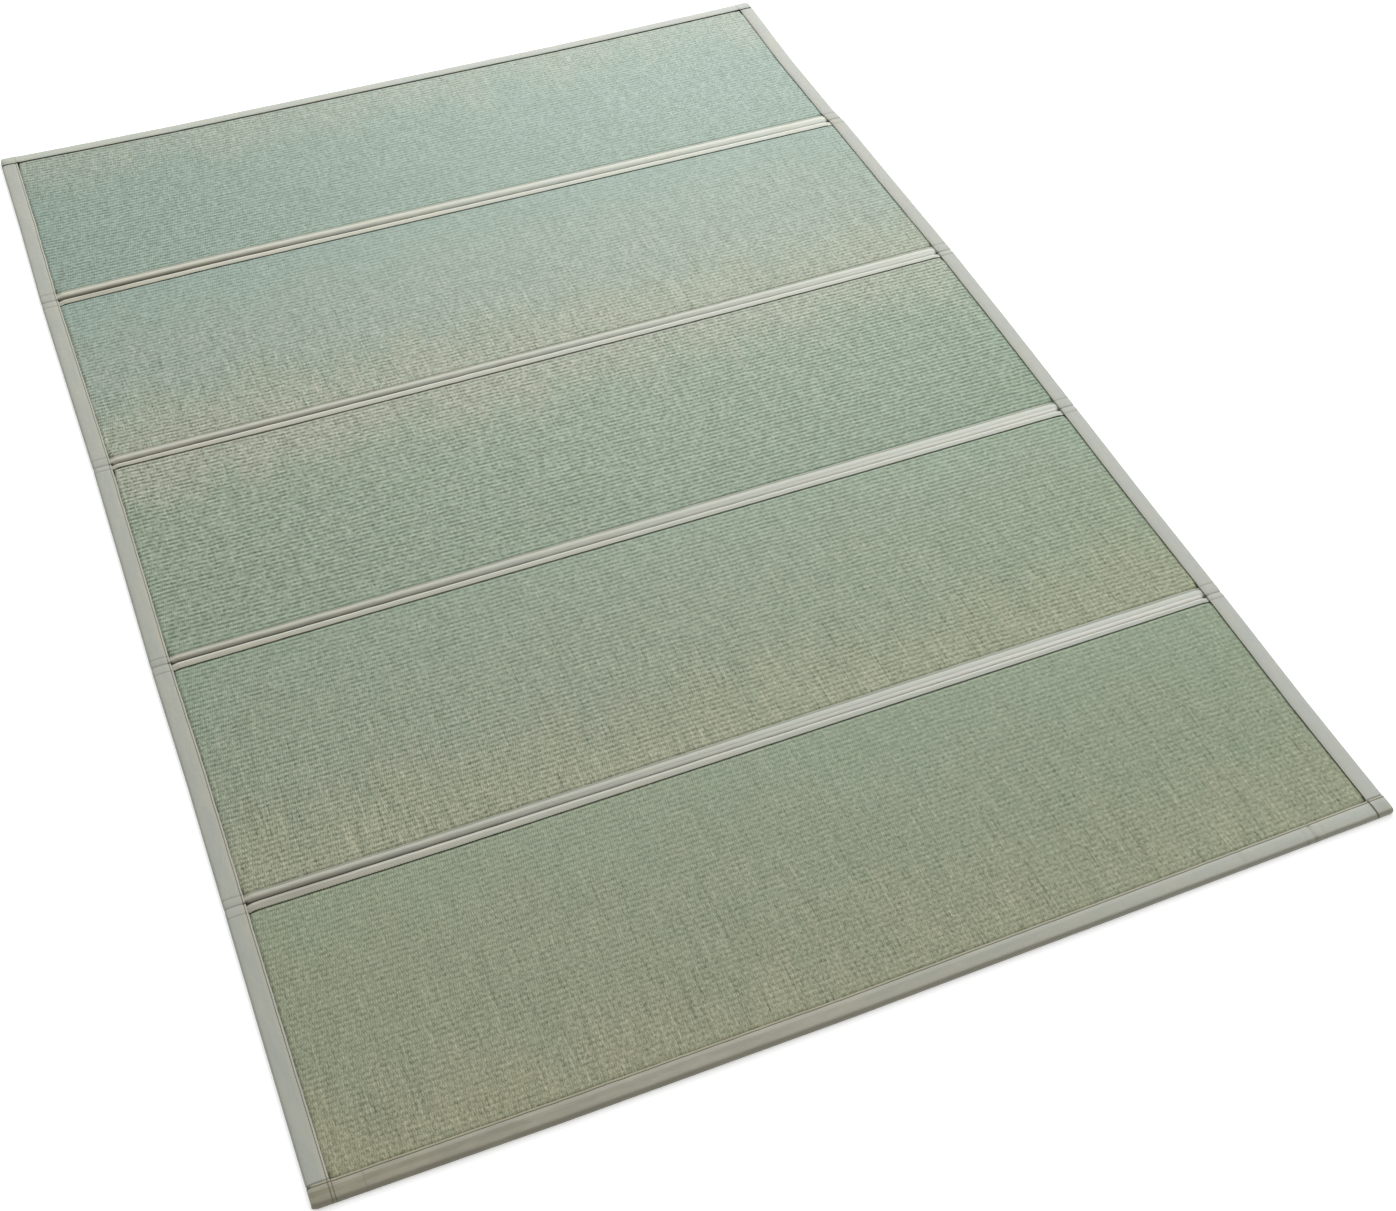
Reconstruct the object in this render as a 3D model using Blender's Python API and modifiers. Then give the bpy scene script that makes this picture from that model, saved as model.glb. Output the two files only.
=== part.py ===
"""A folding rush floor mat: five woven panels, bound all round and at their joints with folded cloth tape.

The mat lies open and flat on the floor. Lengths are in metres, +X is right, +Y is the back and +Z is up. The
origin is on the floor under the middle of the mat.
"""
from collections import namedtuple

import bmesh
import bpy

MM = 0.001

HALF_WIDTH = 0.707            # the widest points of the mat reach this far left and right
HALF_DEPTH = 1.030            # and this far forward and back
PANEL_COUNT = 5

RUSH_TOP = 8.2 * MM           # mean height of the woven face
RIB_PITCH = 7.38 * MM         # one woven band
RIB_HEIGHT = 0.5 * MM         # crest to groove

TAPE_THICKNESS = 1.0 * MM
CLEARANCE = 0.3 * MM
CROWN = 8.9 * MM              # top of a binding where nothing lies over or under it
SIDE_WIDTH = 26.5 * MM
FRONT_WIDTH = 26.0 * MM
BACK_WIDTH = 22.0 * MM

JOINT_GAP = 0.6 * MM          # between the two bindings of one joint
TUCK_LENGTH = 8.0 * MM        # a joint binding's end goes this far under the side binding
TUCKED_CROWN = 6.7 * MM       # and is pressed down to this height there
TUCK_RAMP = 11.0 * MM
TUCK_LEAD = 0.5 * MM          # a lower piece is down this far before the piece that covers it begins

CORNER_FLOOR = TAPE_THICKNESS + CLEARANCE   # underside of a side binding inside an end binding
CORNER_CROWN = 7.6 * MM                     # its top there
CORNER_DRAW_IN = 1.5 * MM                   # its outer edge lies this much further in there
CORNER_RAMP = 4.5 * MM
CORNER_RISE = 9.9 * MM                      # top of an end binding over a side binding
JOINT_DIP = 0.6 * MM                        # crease in a side binding over a joint
JOINT_DIP_REACH = 7.0 * MM
JOINT_DRAW_IN = 0.5 * MM

Sway = namedtuple("Sway", "at inset")
Joint = namedtuple("Joint", "at shift far near")
Fold = namedtuple("Fold", "inward height")
Fit = namedtuple("Fit", "at floor crown draw_in")
Level = namedtuple("Level", "part_in beyond height corner_height chamfer")

# How far each outer edge lies inside the mat's widest points, in mm, at a place along it in metres.
LEFT_EDGE = (
    Sway(-1.03, 2.7), Sway(-0.824, 2.9), Sway(-0.618, 3.4), Sway(-0.412, 4.0), Sway(-0.206, 2.0),
    Sway(0.0, 3.2), Sway(0.206, 3.9), Sway(0.412, 2.0), Sway(0.618, 0.0), Sway(0.824, 1.9), Sway(1.03, 1.9),
)
RIGHT_EDGE = (
    Sway(-1.03, 9.1), Sway(-0.824, 9.7), Sway(-0.618, 6.8), Sway(-0.412, 6.0), Sway(-0.206, 3.2),
    Sway(0.0, 0.7), Sway(0.206, 0.0), Sway(0.412, 3.3), Sway(0.606, 5.7), Sway(0.642, 9.8),
    Sway(0.824, 12.4), Sway(1.03, 8.0),
)
FRONT_EDGE = (
    Sway(-0.70, 5.5), Sway(-0.42, 1.4), Sway(-0.06, 0.0), Sway(0.30, 3.0), Sway(0.70, 7.5),
)
BACK_EDGE = (
    Sway(-0.70, 0.0), Sway(-0.57, 4.0), Sway(-0.42, 7.3), Sway(0.30, 8.3), Sway(0.55, 3.5), Sway(0.70, 0.0),
)

# Each joint from the back: its line's shift from an even fifth, and its two bindings' widths, all in mm.
JOINTS = (
    (Joint(-0.68, -7.2, 18.0, 15.0), Joint(-0.42, -2.7, 18.0, 14.5),
     Joint(0.30, -2.7, 18.5, 14.5), Joint(0.68, -2.7, 18.5, 14.5)),
    (Joint(-0.68, -2.2, 15.0, 11.5), Joint(-0.42, -2.2, 13.0, 15.0),
     Joint(0.30, -1.9, 14.0, 14.0), Joint(0.68, -0.3, 18.0, 11.5)),
    (Joint(-0.68, -0.7, 12.0, 15.0), Joint(-0.42, -0.9, 13.5, 13.0),
     Joint(0.30, 0.0, 17.5, 12.5), Joint(0.68, 1.3, 18.0, 13.0)),
    (Joint(-0.68, 1.5, 12.5, 15.0), Joint(-0.42, -0.2, 12.5, 15.0),
     Joint(0.30, 0.3, 17.0, 12.0), Joint(0.68, 0.3, 17.5, 10.5)),
)

# The outer face of a folded tape from its lower edge round to its upper edge, in mm. The dip near the upper edge
# is where the tape is stitched down.
WIDE_FOLD = (
    Fold(16.5, 0.0), Fold(3.5, 0.0), Fold(0.6, 1.6), Fold(0.0, 3.8), Fold(1.0, 6.4), Fold(4.0, 8.2),
    Fold(13.0, 8.9), Fold(22.3, 8.6), Fold(23.8, 8.0), Fold(25.2, 8.7), Fold(26.5, 8.5),
)
NARROW_FOLD = (
    Fold(8.0, 0.0), Fold(2.6, 0.0), Fold(0.5, 1.4), Fold(0.0, 3.4), Fold(0.8, 5.8), Fold(3.2, 7.9),
    Fold(7.0, 8.9), Fold(10.4, 8.5), Fold(11.6, 8.0), Fold(12.9, 8.6), Fold(14.0, 8.4),
)

# How a tape is pressed towards its end, at a distance from that end of the mat: the heights of its underside and
# of its top, and how far its outer edge is drawn in. A side binding ends inside the end binding, and an end
# binding ends rounded at the mat's corner.
SIDE_END = (
    Fit(5.5 * MM, CORNER_FLOOR, 6.9 * MM, 6.0 * MM),
    Fit(13.0 * MM, CORNER_FLOOR, CORNER_CROWN, CORNER_DRAW_IN),
)
ROUNDED_END = (
    Fit(0.0, 2.4 * MM, 6.2 * MM, 4.0 * MM),
    Fit(1.6 * MM, 0.3 * MM, 9.2 * MM, 1.6 * MM),
    Fit(6.0 * MM, 0.0, CORNER_RISE, 0.0),
)

# A panel's rim, from the woven face down round its hidden edge to its underside: how far in each loop lies, as a
# part of the tapes' widths and in mm beyond that, its height between the corners and at them, and how much of
# each corner is cut away.
RIM = (
    Level(1.0, 0.0, 7.0, 4.5, 0.5),
    Level(0.70, 0.0, 4.6, 4.6, 2.0),
    Level(0.0, 5.0, 4.2, 4.2, 11.0),
    Level(0.0, 5.0, 2.7, 2.7, 11.0),
    Level(0.66, 0.0, 2.7, 2.7, 2.0),
    Level(0.85, 0.0, 0.0, 0.0, 2.0),
)
FACE_INSET = 1.2 * MM         # the woven face begins this far inside the tapes' inner edges
CORNER_REACH = 12.0 * MM      # the rim is lower for this far from a panel's corner
SIDE_BEND_MARGIN = 20.0 * MM
FLAT_ENOUGH = 0.01 * MM

RUSH_COLOURS = (
    (0.37, 0.44, 0.36), (0.37, 0.41, 0.31), (0.36, 0.38, 0.27), (0.36, 0.38, 0.26), (0.33, 0.34, 0.22),
)
SIDE_COLOUR = (0.42, 0.43, 0.38)
JOINT_COLOUR = (0.52, 0.51, 0.43)


def read_table(rows, column, place):
    """The value of a table's column at a place, on a straight line from each row to the next."""
    if place <= rows[0].at:
        return getattr(rows[0], column)
    for low, high in zip(rows, rows[1:]):
        if place <= high.at:
            part = (place - low.at) / (high.at - low.at)
            low_value = getattr(low, column)
            return low_value + (getattr(high, column) - low_value) * part
    return getattr(rows[-1], column)


def left_x(y):
    return -HALF_WIDTH + read_table(LEFT_EDGE, "inset", y) * MM


def right_x(y):
    return HALF_WIDTH - read_table(RIGHT_EDGE, "inset", y) * MM


def even_line(line):
    """Where a line across the mat would lie if all panels were alike."""
    return HALF_DEPTH - 2 * HALF_DEPTH * line / PANEL_COUNT


def line_y(line, x):
    """Where a line across the mat lies: 0 is its back edge, the last is its front edge, the rest are joints."""
    if line == 0:
        return HALF_DEPTH - read_table(BACK_EDGE, "inset", x) * MM
    if line == PANEL_COUNT:
        return -HALF_DEPTH + read_table(FRONT_EDGE, "inset", x) * MM
    return even_line(line) + read_table(JOINTS[line - 1], "shift", x) * MM


def bends(line):
    """The places across the mat where a line changes direction."""
    if line == 0:
        rows = BACK_EDGE
    elif line == PANEL_COUNT:
        rows = FRONT_EDGE
    else:
        rows = JOINTS[line - 1]
    return [row.at for row in rows[1:-1]]


def joint_half(line):
    """Half the gap left between two panels' tapes at a joint, and nothing at the mat's own edges."""
    return JOINT_GAP / 2 if 0 < line < PANEL_COUNT else 0.0


def tape_width(line, side, x):
    """The width of the tape at a line across the mat, on its far (back) or near (front) side."""
    if line == 0:
        return BACK_WIDTH
    if line == PANEL_COUNT:
        return FRONT_WIDTH
    return read_table(JOINTS[line - 1], side, x) * MM


def new_object(name, mesh, colour):
    obj = bpy.data.objects.new(name, mesh)
    material = bpy.data.materials.new(name + "_material")
    material.use_nodes = True
    shader = material.node_tree.nodes["Principled BSDF"]
    shader.inputs["Base Color"].default_value = (*colour, 1.0)
    shader.inputs["Roughness"].default_value = 0.7
    shader.inputs["Metallic"].default_value = 0.0
    mesh.materials.append(material)
    parts.objects.link(obj)
    obj.parent = mat_origin
    return obj


def folded_tape(name, fold, width_at, fits, place, outward, colour):
    """A tape folded over an edge: a flat grid bent round the fold at each place along it, then thickened.

    place(at, inward) gives x and y. Each fit says how the fold is pressed at one place along the tape.
    """
    bm = bmesh.new()
    bmesh.ops.create_grid(bm, x_segments=len(fits) - 1, y_segments=len(fold) - 1, size=1.0)
    bm.verts.ensure_lookup_table()
    full_width = fold[-1].inward
    full_height = max(row.height for row in fold)
    for row_number, row in enumerate(fold):
        for fit_number, fit in enumerate(fits):
            inward = row.inward / full_width * width_at(fit.at) + fit.draw_in * (1 - row.inward / full_width)
            height = fit.floor + row.height / full_height * (fit.crown - fit.floor)
            vert = bm.verts[row_number * len(fits) + fit_number]
            vert.co = (*place(fit.at, inward), height)
    bm.normal_update()
    facing = sum(face.normal.dot(outward) * face.calc_area() for face in bm.faces)
    if facing < 0:
        bmesh.ops.reverse_faces(bm, faces=bm.faces[:])
    mesh = bpy.data.meshes.new(name)
    bm.to_mesh(mesh)
    bm.free()
    mesh.shade_smooth()
    tape = new_object(name, mesh, colour)
    thicken = tape.modifiers.new("Cloth", "SOLIDIFY")
    thicken.thickness = TAPE_THICKNESS
    thicken.offset = -1.0
    thicken.use_even_offset = True
    return tape


def fits_from(end, direction, fits):
    """Fits that lie at a distance from one end of the mat, moved to their own places on it."""
    return [fit._replace(at=end + direction * fit.at) for fit in fits]


def side_fits(edge_x, inward_sign):
    """How a side binding is pressed along the mat: at its ends, inside the end bindings, and over each joint."""
    middle_x = edge_x(0.0) + inward_sign * SIDE_WIDTH / 2
    fits = []
    for line, width, direction in ((PANEL_COUNT, FRONT_WIDTH, 1), (0, BACK_WIDTH, -1)):
        covered = width + TUCK_LEAD
        pressed = (
            *SIDE_END,
            Fit(covered, CORNER_FLOOR, CORNER_CROWN, CORNER_DRAW_IN),
            Fit(covered + CORNER_RAMP, 0.0, CROWN, 0.0),
        )
        fits += fits_from(line_y(line, middle_x), direction, pressed)
    for line in range(1, PANEL_COUNT):
        joint = line_y(line, middle_x)
        fits += [
            Fit(joint - JOINT_DIP_REACH, 0.0, CROWN, 0.0),
            Fit(joint, 0.0, CROWN - JOINT_DIP, JOINT_DRAW_IN),
            Fit(joint + JOINT_DIP_REACH, 0.0, CROWN, 0.0),
        ]
    rows = LEFT_EDGE if edge_x is left_x else RIGHT_EDGE
    taken = [fit.at for fit in fits]
    for row in rows[1:-1]:
        if min(abs(row.at - at) for at in taken) > JOINT_DIP_REACH:
            fits.append(Fit(row.at, 0.0, CROWN, 0.0))
    return sorted(fits)


def side_binding(name, edge_x, inward_sign):
    return folded_tape(
        name, WIDE_FOLD, lambda at: SIDE_WIDTH, side_fits(edge_x, inward_sign),
        lambda at, inward: (edge_x(at) + inward_sign * inward, at),
        (-inward_sign, 0.0, 0.0), SIDE_COLOUR,
    )


def end_fits(line):
    """How an end binding is pressed across the mat: closed at its rounded ends, raised over the side bindings."""
    edge_y = line_y(line, 0.0)
    covered = SIDE_WIDTH + TUCK_LEAD
    raised = (*ROUNDED_END, Fit(covered, 0.0, CORNER_RISE, 0.0), Fit(covered + CORNER_RAMP, 0.0, CROWN, 0.0))
    fits = fits_from(left_x(edge_y), 1, raised) + fits_from(right_x(edge_y), -1, raised)
    fits += [Fit(at, 0.0, CROWN, 0.0) for at in bends(line)]
    return sorted(fits)


def end_binding(name, line, inward_sign):
    return folded_tape(
        name, WIDE_FOLD, lambda at: tape_width(line, "far", at), end_fits(line),
        lambda at, inward: (at, line_y(line, at) + inward_sign * inward),
        (0.0, -inward_sign, 0.0), SIDE_COLOUR,
    )


def joint_fits(line):
    """How a joint binding is pressed across the mat: full between the side bindings, flattened under them."""
    joint = line_y(line, 0.0)
    inner_left = left_x(joint) + SIDE_WIDTH
    inner_right = right_x(joint) - SIDE_WIDTH
    fits = []
    for inner, direction in ((inner_left, 1), (inner_right, -1)):
        fits += [
            Fit(inner - direction * TUCK_LENGTH, 0.0, TUCKED_CROWN, 0.0),
            Fit(inner + direction * TUCK_LEAD, 0.0, TUCKED_CROWN, 0.0),
            Fit(inner + direction * TUCK_RAMP, 0.0, CROWN, 0.0),
        ]
    fits += [Fit(at, 0.0, CROWN, 0.0) for at in bends(line)]
    return sorted(fits)


def joint_binding(name, line, side, inward_sign):
    edge = inward_sign * joint_half(line)
    return folded_tape(
        name, NARROW_FOLD, lambda at: tape_width(line, side, at), joint_fits(line),
        lambda at, inward: (at, line_y(line, at) + edge + inward_sign * inward),
        (0.0, -inward_sign, 0.0), JOINT_COLOUR,
    )


def panel_frame(panel, level):
    """The four sides of one loop of a panel's rim: x of its left and right, and y of its front and back."""
    back_line = panel
    front_line = panel + 1
    beyond = level.beyond * MM
    side_inset = level.part_in * SIDE_WIDTH + beyond

    def left(y):
        return left_x(y) + side_inset

    def right(y):
        return right_x(y) - side_inset

    def front(x):
        inset = level.part_in * tape_width(front_line, "far", x) + joint_half(front_line) + beyond
        return line_y(front_line, x) + inset

    def back(x):
        inset = level.part_in * tape_width(back_line, "near", x) + joint_half(back_line) + beyond
        return line_y(back_line, x) - inset

    return left, right, front, back


def panel_columns(panel):
    """The places across a panel where its front or back edge bends."""
    return sorted(set(bends(panel)) | set(bends(panel + 1)))


def side_bends(edge, panel):
    """The places along a panel's side where the mat's edge bends, clear of the panel's corners."""
    front_y = even_line(panel + 1) + SIDE_BEND_MARGIN
    back_y = even_line(panel) - SIDE_BEND_MARGIN
    return [row.at for row in edge if front_y < row.at < back_y]


def rim_loop(bm, panel, level):
    """One loop round a panel's rim, as its front, right, back and left runs of points, counter-clockwise."""
    left, right, front, back = panel_frame(panel, level)
    cut = level.chamfer * MM
    front_y = front(0.0)
    back_y = back(0.0)

    def run(place, low, high, between):
        stops = [low + cut, *between, high - cut]
        heights = [level.corner_height] + [level.height] * len(between) + [level.corner_height]
        return [(*place(stop), height) for stop, height in zip(stops, heights)]

    def columns(low, high):
        return [low + cut + CORNER_REACH, *panel_columns(panel), high - cut - CORNER_REACH]

    front_ends = (left(front_y), right(front_y))
    back_ends = (left(back_y), right(back_y))
    runs = (
        run(lambda x: (x, front(x)), *front_ends, columns(*front_ends)),
        run(lambda y: (right(y), y), front(right(front_y)), back(right(back_y)), side_bends(RIGHT_EDGE, panel)),
        run(lambda x: (x, back(x)), *back_ends, columns(*back_ends))[::-1],
        run(lambda y: (left(y), y), front(left(front_y)), back(left(back_y)), side_bends(LEFT_EDGE, panel))[::-1],
    )
    return [[bm.verts.new((x, y, height * MM)) for x, y, height in points] for points in runs]


def woven_face(bm, panel):
    """The ribbed face: a row of points on every crest and groove. Returns its points row by row from the front."""
    face_level = Level(1.0, FACE_INSET / MM, 0.0, 0.0, 0.0)
    left, right, front, back = panel_frame(panel, face_level)
    depth = back(0.0) - front(0.0)
    rib_count = round(depth / RIB_PITCH)
    row_count = 2 * rib_count + 1
    rows = []
    for row_number in range(row_count):
        part = row_number / (row_count - 1)
        height = RUSH_TOP + (RIB_HEIGHT / 2 if row_number % 2 else -RIB_HEIGHT / 2)
        middle_y = front(0.0) + part * depth
        low = left(middle_y)
        high = right(middle_y)
        row = []
        for x in (low, low + CORNER_REACH, *panel_columns(panel), high - CORNER_REACH, high):
            y = front(x) + part * (back(x) - front(x))
            row.append(bm.verts.new((x, y, height)))
        rows.append(row)
    for near, far in zip(rows, rows[1:]):
        for column in range(len(near) - 1):
            bm.faces.new((near[column], near[column + 1], far[column + 1], far[column]))
    return rows


def sunken_quad(bm, a, b, c, d):
    """A four-sided face, parted along its lower diagonal where it isn't flat, so that it never bulges up."""
    rise = (a.co.z + c.co.z) - (b.co.z + d.co.z)
    if abs(rise) < FLAT_ENOUGH:
        bm.faces.new((a, b, c, d))
    elif rise < 0:
        bm.faces.new((a, b, c))
        bm.faces.new((a, c, d))
    else:
        bm.faces.new((b, c, d))
        bm.faces.new((b, d, a))


def close_side(bm, run, column):
    """Faces from a run of the rim to the rib ends beside it, one for each straight stretch of the run."""
    last = len(column) - 1
    done = 0
    for number in range(len(run) - 1):
        low = run[number]
        high = run[number + 1]
        reached = last
        if number < len(run) - 2:
            reached = min(range(last), key=lambda index: abs(column[index].co.y - high.co.y))
        bm.faces.new((low, high, *reversed(column[done:reached + 1])))
        done = reached


def rush_panel(name, panel, colour):
    """A woven panel: its ribbed face, and a thin rim that runs inside the tapes."""
    bm = bmesh.new()
    rows = woven_face(bm, panel)
    loops = [rim_loop(bm, panel, level) for level in RIM]
    front_run, right_run, back_run, left_run = loops[0]
    for edge_run, face_row in ((front_run, rows[0]), (back_run, rows[-1][::-1])):
        for number in range(len(edge_run) - 1):
            after = number + 1
            bm.faces.new((edge_run[number], edge_run[after], face_row[after], face_row[number]))
    close_side(bm, [front_run[-1], *right_run, back_run[0]], [row[-1] for row in rows])
    close_side(bm, [back_run[-1], *left_run, front_run[0]], [row[0] for row in rows[::-1]])
    rings = [[vert for points in loop for vert in points] for loop in loops]
    for upper, lower in zip(rings, rings[1:]):
        for number in range(len(upper)):
            after = (number + 1) % len(upper)
            sunken_quad(bm, lower[number], lower[after], upper[after], upper[number])
    bm.faces.new(list(reversed(rings[-1])))
    mesh = bpy.data.meshes.new(name)
    bm.to_mesh(mesh)
    bm.free()
    return new_object(name, mesh, colour)


for old in list(bpy.data.objects):
    bpy.data.objects.remove(old, do_unlink=True)

parts = bpy.data.collections.new("folding_rush_mat")
bpy.context.scene.collection.children.link(parts)
mat_origin = bpy.data.objects.new("mat_origin", None)
parts.objects.link(mat_origin)

for panel_number in range(PANEL_COUNT):
    rush_panel("panel_%d" % (panel_number + 1), panel_number, RUSH_COLOURS[panel_number])

side_binding("side_binding_left", left_x, 1)
side_binding("side_binding_right", right_x, -1)
end_binding("end_binding_back", 0, -1)
end_binding("end_binding_front", PANEL_COUNT, 1)

for joint_line in range(1, PANEL_COUNT):
    joint_binding("joint_%d_far" % joint_line, joint_line, "far", 1)
    joint_binding("joint_%d_near" % joint_line, joint_line, "near", -1)
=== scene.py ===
# Looks of a folding rush floor mat: five woven panels, cloth tape folded over every edge, topstitching.
# Lengths are in metres. +X is right, +Y is the back, +Z is up. The mat lies on the floor round the origin.
import math

import bpy
import mathutils
import numpy as np
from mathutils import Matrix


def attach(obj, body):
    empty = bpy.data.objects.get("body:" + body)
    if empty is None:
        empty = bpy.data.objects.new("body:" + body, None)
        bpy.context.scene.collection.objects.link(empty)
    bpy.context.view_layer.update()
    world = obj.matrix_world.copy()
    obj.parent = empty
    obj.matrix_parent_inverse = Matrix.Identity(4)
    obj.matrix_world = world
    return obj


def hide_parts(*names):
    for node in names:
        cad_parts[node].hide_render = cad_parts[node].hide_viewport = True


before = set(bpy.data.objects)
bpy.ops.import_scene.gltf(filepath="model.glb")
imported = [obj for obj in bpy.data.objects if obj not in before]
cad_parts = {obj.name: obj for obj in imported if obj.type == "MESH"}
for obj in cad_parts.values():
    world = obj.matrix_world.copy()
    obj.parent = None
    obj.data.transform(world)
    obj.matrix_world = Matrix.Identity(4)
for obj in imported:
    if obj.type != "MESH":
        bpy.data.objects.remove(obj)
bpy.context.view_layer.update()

mm = 0.001

# Places are in metres and everything else in mm, as on the cutting list.
mat = {
    "halfWidth": 0.707,
    "halfDepth": 1.030,
    "panels": 5,
    "jointGap": 0.6,
    "leftEdge": (
        (-1.03, 2.7), (-0.824, 2.9), (-0.618, 3.4), (-0.412, 4.0), (-0.206, 2.0), (0.0, 3.2), (0.206, 3.9),
        (0.412, 2.0), (0.618, 0.0), (0.824, 1.9), (1.03, 1.9),
    ),
    "rightEdge": (
        (-1.03, 9.1), (-0.824, 9.7), (-0.618, 6.8), (-0.412, 6.0), (-0.206, 3.2), (0.0, 0.7), (0.206, 0.0),
        (0.412, 3.3), (0.606, 5.7), (0.642, 9.8), (0.824, 12.4), (1.03, 8.0),
    ),
    "frontEdge": ((-0.70, 5.5), (-0.42, 1.4), (-0.06, 0.0), (0.30, 3.0), (0.70, 7.5)),
    "backEdge": ((-0.70, 0.0), (-0.57, 4.0), (-0.42, 7.3), (0.30, 8.3), (0.55, 3.5), (0.70, 0.0)),
    # each joint from the back: place, shift from an even fifth, width of the far tape and of the near one
    "joints": (
        ((-0.68, -7.2, 18.0, 15.0), (-0.42, -2.7, 18.0, 14.5),
         (0.30, -2.7, 18.5, 14.5), (0.68, -2.7, 18.5, 14.5)),
        ((-0.68, -2.2, 15.0, 11.5), (-0.42, -2.2, 13.0, 15.0),
         (0.30, -1.9, 14.0, 14.0), (0.68, -0.3, 18.0, 11.5)),
        ((-0.68, -0.7, 12.0, 15.0), (-0.42, -0.9, 13.5, 13.0),
         (0.30, 0.0, 17.5, 12.5), (0.68, 1.3, 18.0, 13.0)),
        ((-0.68, 1.5, 12.5, 15.0), (-0.42, -0.2, 12.5, 15.0),
         (0.30, 0.3, 17.0, 12.0), (0.68, 0.3, 17.5, 10.5)),
    ),
    "sideWidth": 26.5,
    "frontWidth": 26.0,
    "backWidth": 22.0,
}


def readTable(rows, place, column=1):
    places = [row[0] for row in rows]
    values = [row[column] for row in rows]
    return float(np.interp(place, places, values))


def leftX(y):
    return -mat["halfWidth"] + readTable(mat["leftEdge"], y) * mm


def rightX(y):
    return mat["halfWidth"] - readTable(mat["rightEdge"], y) * mm


# Lines across the mat: 0 is the back edge, 1 to 4 are the joints and 5 is the front edge.
def lineY(line, x):
    if line == 0:
        return mat["halfDepth"] - readTable(mat["backEdge"], x) * mm
    if line == mat["panels"]:
        return -mat["halfDepth"] + readTable(mat["frontEdge"], x) * mm
    even = mat["halfDepth"] * (1 - 2 * line / mat["panels"])
    return even + readTable(mat["joints"][line - 1], x) * mm


def tapeWidth(line, side, x):
    if line == 0:
        return mat["backWidth"] * mm
    if line == mat["panels"]:
        return mat["frontWidth"] * mm
    return readTable(mat["joints"][line - 1], x, 2 if side == "far" else 3) * mm


def halfGap(line):
    return mat["jointGap"] / 2 * mm if 0 < line < mat["panels"] else 0.0


def ease(part):
    part = min(max(part, 0.0), 1.0)
    return part * part * (3 - 2 * part)


def wander(*place):
    return mathutils.noise.noise(mathutils.Vector(place))


# A socket that takes part in sums, and the tree it is wired in
class Wire:
    def __init__(self, patch, socket):
        self.patch = patch
        self.socket = socket

    # another output of the same node
    def out(self, key):
        return Wire(self.patch, self.socket.node.outputs[key])

    def do(self, operation, *others):
        values = (self, *others)
        return self.patch.node("ShaderNodeMath", {"operation": operation}, dict(enumerate(values)))

    def __add__(self, other):
        return self.do("ADD", other)

    def __sub__(self, other):
        return self.do("SUBTRACT", other)

    def __mul__(self, other):
        return self.do("MULTIPLY", other)

    def __truediv__(self, other):
        return self.do("DIVIDE", other)

    def __radd__(self, other):
        return self.do("ADD", other)

    def __rmul__(self, other):
        return self.do("MULTIPLY", other)

    def __rsub__(self, other):
        return self.patch.node("ShaderNodeMath", {"operation": "SUBTRACT"}, {0: other, 1: self})


class Patch:
    def __init__(self, tree):
        self.tree = tree

    def node(self, kind, settings=None, sockets=None, output=0):
        made = self.tree.nodes.new(kind)
        for name, value in (settings or {}).items():
            setattr(made, name, value)
        for key, value in (sockets or {}).items():
            if isinstance(value, Wire):
                self.tree.links.new(value.socket, made.inputs[key])
            else:
                made.inputs[key].default_value = value
        return Wire(self, made.outputs[output]) if len(made.outputs) else None

    def vector(self, x, y, z=0.0):
        return self.node("ShaderNodeCombineXYZ", None, {"X": x, "Y": y, "Z": z})

    def split(self, vector):
        return self.node("ShaderNodeSeparateXYZ", None, {0: vector})

    def attribute(self, name):
        return self.node("ShaderNodeAttribute", {"attribute_name": name}, None, "Fac")

    def objectPlace(self):
        return self.node("ShaderNodeTexCoord", None, None, "Object")

    # smooth noise from 0 to 1
    def noise(self, where, detail=2.0, roughness=0.5):
        sockets = {"Vector": where, "Scale": 1.0, "Detail": detail, "Roughness": roughness}
        return self.node("ShaderNodeTexNoise", None, sockets)

    # noise from 0 to 1 of one kind: how fine it is both ways, seed, detail, roughness
    def grain(self, first, second, kind):
        fineFirst, fineSecond, seed, detail, roughness = kind
        return self.noise(self.vector(first * fineFirst, second * fineSecond, seed), detail, roughness)

    def multiply(self, first, second):
        return self.node("ShaderNodeVectorMath", {"operation": "MULTIPLY"}, {0: first, 1: second})

    def blend(self, factor, first, second):
        settings = {"data_type": "RGBA"}
        return self.node("ShaderNodeMix", settings, {0: factor, 6: first, 7: second}, 2)

    # a smooth step from 0 at low to 1 at high
    def step(self, value, low, high):
        settings = {"interpolation_type": "SMOOTHSTEP"}
        return self.node("ShaderNodeMapRange", settings, {"Value": value, "From Min": low, "From Max": high})

    # a colour or a place, multiplied
    def shade(self, vector, amount):
        return self.node("ShaderNodeVectorMath", {"operation": "SCALE"}, {0: vector, "Scale": amount})


def newMaterial(name):
    material = bpy.data.materials.new(name)
    material.use_nodes = True
    material.node_tree.nodes.clear()
    return material, Patch(material.node_tree)


def finishMaterial(patch, fixed, changing, bumpHeight=None, bumpDistance=1.0):
    sockets = dict(fixed)
    sockets.update(changing)
    if bumpHeight is not None:
        sockets["Normal"] = patch.node("ShaderNodeBump", None, {
            "Height": bumpHeight, "Distance": bumpDistance, "Strength": 1.0,
        })
    shader = patch.node("ShaderNodeBsdfPrincipled", None, sockets)
    patch.node("ShaderNodeOutputMaterial", None, {"Surface": shader})


def rgb(red, green, blue):
    return (red, green, blue, 1.0)


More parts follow.
